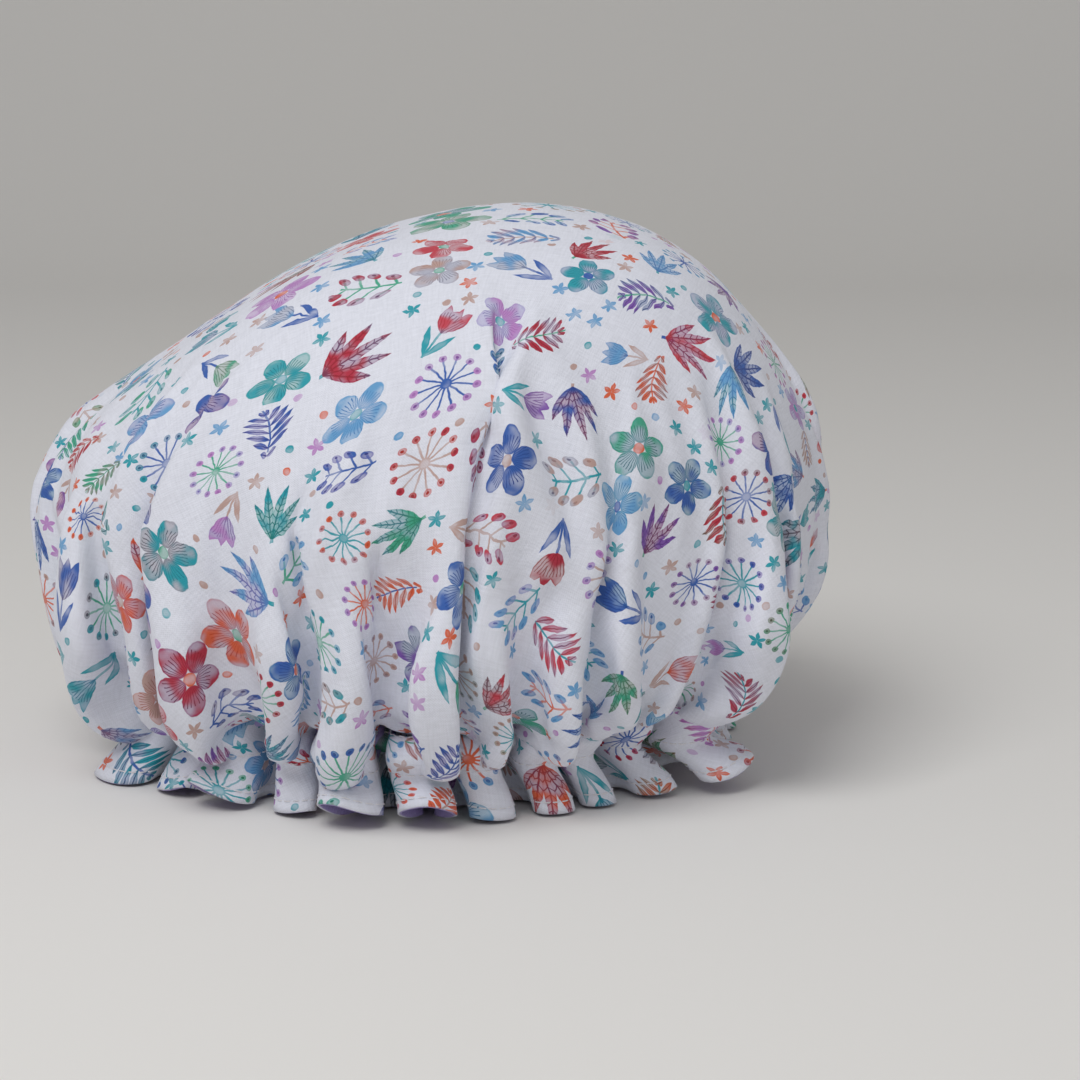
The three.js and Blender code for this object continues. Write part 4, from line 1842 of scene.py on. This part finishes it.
@dataclass
class Studio:
    """A pale floor that curves up to a backdrop, soft lamps and the camera."""

    floor_colour: str = "#EAE8E5"
    half_width: float = 2.2
    front: float = -1.6
    back: float = 1.3
    curve: float = 0.7
    curve_steps: int = 25
    wall: float = 2.2
    target: tuple[float, float, float] = (0.034, 0.0, 0.069)
    distance: float = 1.0
    elevation: float = 11.5
    field_of_view: float = 20.2
    key_place: tuple[float, float, float] = (-0.45, -0.78, 1.38)
    key_size: float = 0.9
    key_power: float = 13.0
    fill_place: tuple[float, float, float] = (1.0, -0.9, 0.6)
    fill_size: float = 1.0
    fill_power: float = 1.0
    lit_height: float = 0.08
    world_strength: float = 0.34

    def build(self) -> None:
        """Set up the floor, the light and the camera."""
        self._floor()
        self._lamp("key", self.key_place, self.key_size, self.key_power)
        self._lamp("fill", self.fill_place, self.fill_size, self.fill_power)
        self._world()
        self._camera()

    def _floor(self) -> None:
        """Sweep the floor up into the backdrop."""
        bend = np.linspace(0.0, math.pi / 2, self.curve_steps)
        wall = self.back + self.curve
        y = np.concatenate([[self.front], self.back + self.curve * np.sin(bend), [wall]])
        z = np.concatenate([[0.0], self.curve * (1.0 - np.cos(bend)), [self.wall]])
        n = len(y)
        ends = (-self.half_width, self.half_width)
        sides = [np.column_stack([np.full(n, x), y, z]) for x in ends]
        faces = [(i, n + i, n + i + 1, i + 1) for i in range(n - 1)]
        floor = new_mesh_object("studio_floor", np.concatenate(sides), faces)
        # Backdrop paper, rolled and uncoated: matt, so that the light falls off softly
        colour = linear(self.floor_colour)
        look = {"Base Color": colour, "Roughness": 0.9, "Specular IOR Level": 0.2}
        floor.data.materials.append(Surface("matt_paper_backdrop", look).material)

    def _lamp(
        self, name: str, place: tuple[float, float, float], size: float, power: float
    ) -> None:
        """Add a square soft lamp that looks at the cap.

        Args:
            name: the lamp's name.
            place: where it hangs.
            size: its side in metres.
            power: its power in watts.
        """
        lamp = bpy.data.lights.new(name, "AREA")
        lamp.energy = power
        lamp.size = size
        obj = bpy.data.objects.new(name, lamp)
        obj.location = place
        aim = Vector((0.0, 0.0, self.lit_height)) - obj.location
        obj.rotation_euler = aim.to_track_quat("-Z", "Y").to_euler()
        bpy.context.scene.collection.objects.link(obj)

    def _world(self) -> None:
        """Light the scene evenly from all round."""
        world = bpy.data.worlds.new("studio")
        world.use_nodes = True
        background = world.node_tree.nodes["Background"]
        background.inputs["Color"].default_value = (1.0, 1.0, 1.0, 1.0)
        background.inputs["Strength"].default_value = self.world_strength
        bpy.context.scene.world = world

    def _camera(self) -> None:
        """Aim the camera as the photograph was taken."""
        data = bpy.data.cameras.new("camera")
        data.angle = math.radians(self.field_of_view)
        camera = bpy.data.objects.new("camera", data)
        tilt = math.radians(self.elevation)
        target = Vector(self.target)
        camera.location = target + self.distance * Vector((0.0, -math.cos(tilt), math.sin(tilt)))
        aim = target - camera.location
        camera.rotation_euler = aim.to_track_quat("-Z", "Y").to_euler()
        bpy.context.scene.collection.objects.link(camera)
        bpy.context.scene.camera = camera


def main() -> None:
    """Build the cap, dress it and set up the studio."""
    logging.basicConfig(level=logging.INFO, format="%(message)s")
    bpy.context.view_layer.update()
    bpy.context.scene.view_settings.view_transform = "Standard"
    cut = CutCircle()
    cloth = GatheredCircle(cut, PuffedOutline.from_frame(), cap_valleys())
    points = ClothSettling().settle(cloth)
    layers = ClothLayers(ClothSurface(cloth, points), cloth)
    outer = layers.outer(PrintedCotton(), SprigPrint())
    lining = layers.lining(LaminatedKnit())
    white = SpunThread("white_polyester_thread_spun", "#F1EFF4").material()
    lilac = SpunThread("lilac_polyester_thread_spun", "#B7A9DA").material()
    threads = {Side.PRINTED: (white, "white_thread"), Side.LINING: (lilac, "lilac_thread")}
    rows = {
        "casing_top": cut.casing_top,
        "casing_bottom": cut.casing_low,
        "hem_edge": cut.edge_stitch,
    }
    stitches: dict[Side, list[bpy.types.Object]] = {side: [] for side in Side}
    for name, radius in rows.items():
        for side, (thread, slot) in threads.items():
            stitches[side].append(StitchRow(name, side, radius).build(layers, thread, slot))
    elastic = Elastic().build(WovenElastic(), white)
    Studio().build()
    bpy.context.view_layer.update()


if __name__ == "__main__":
    main()
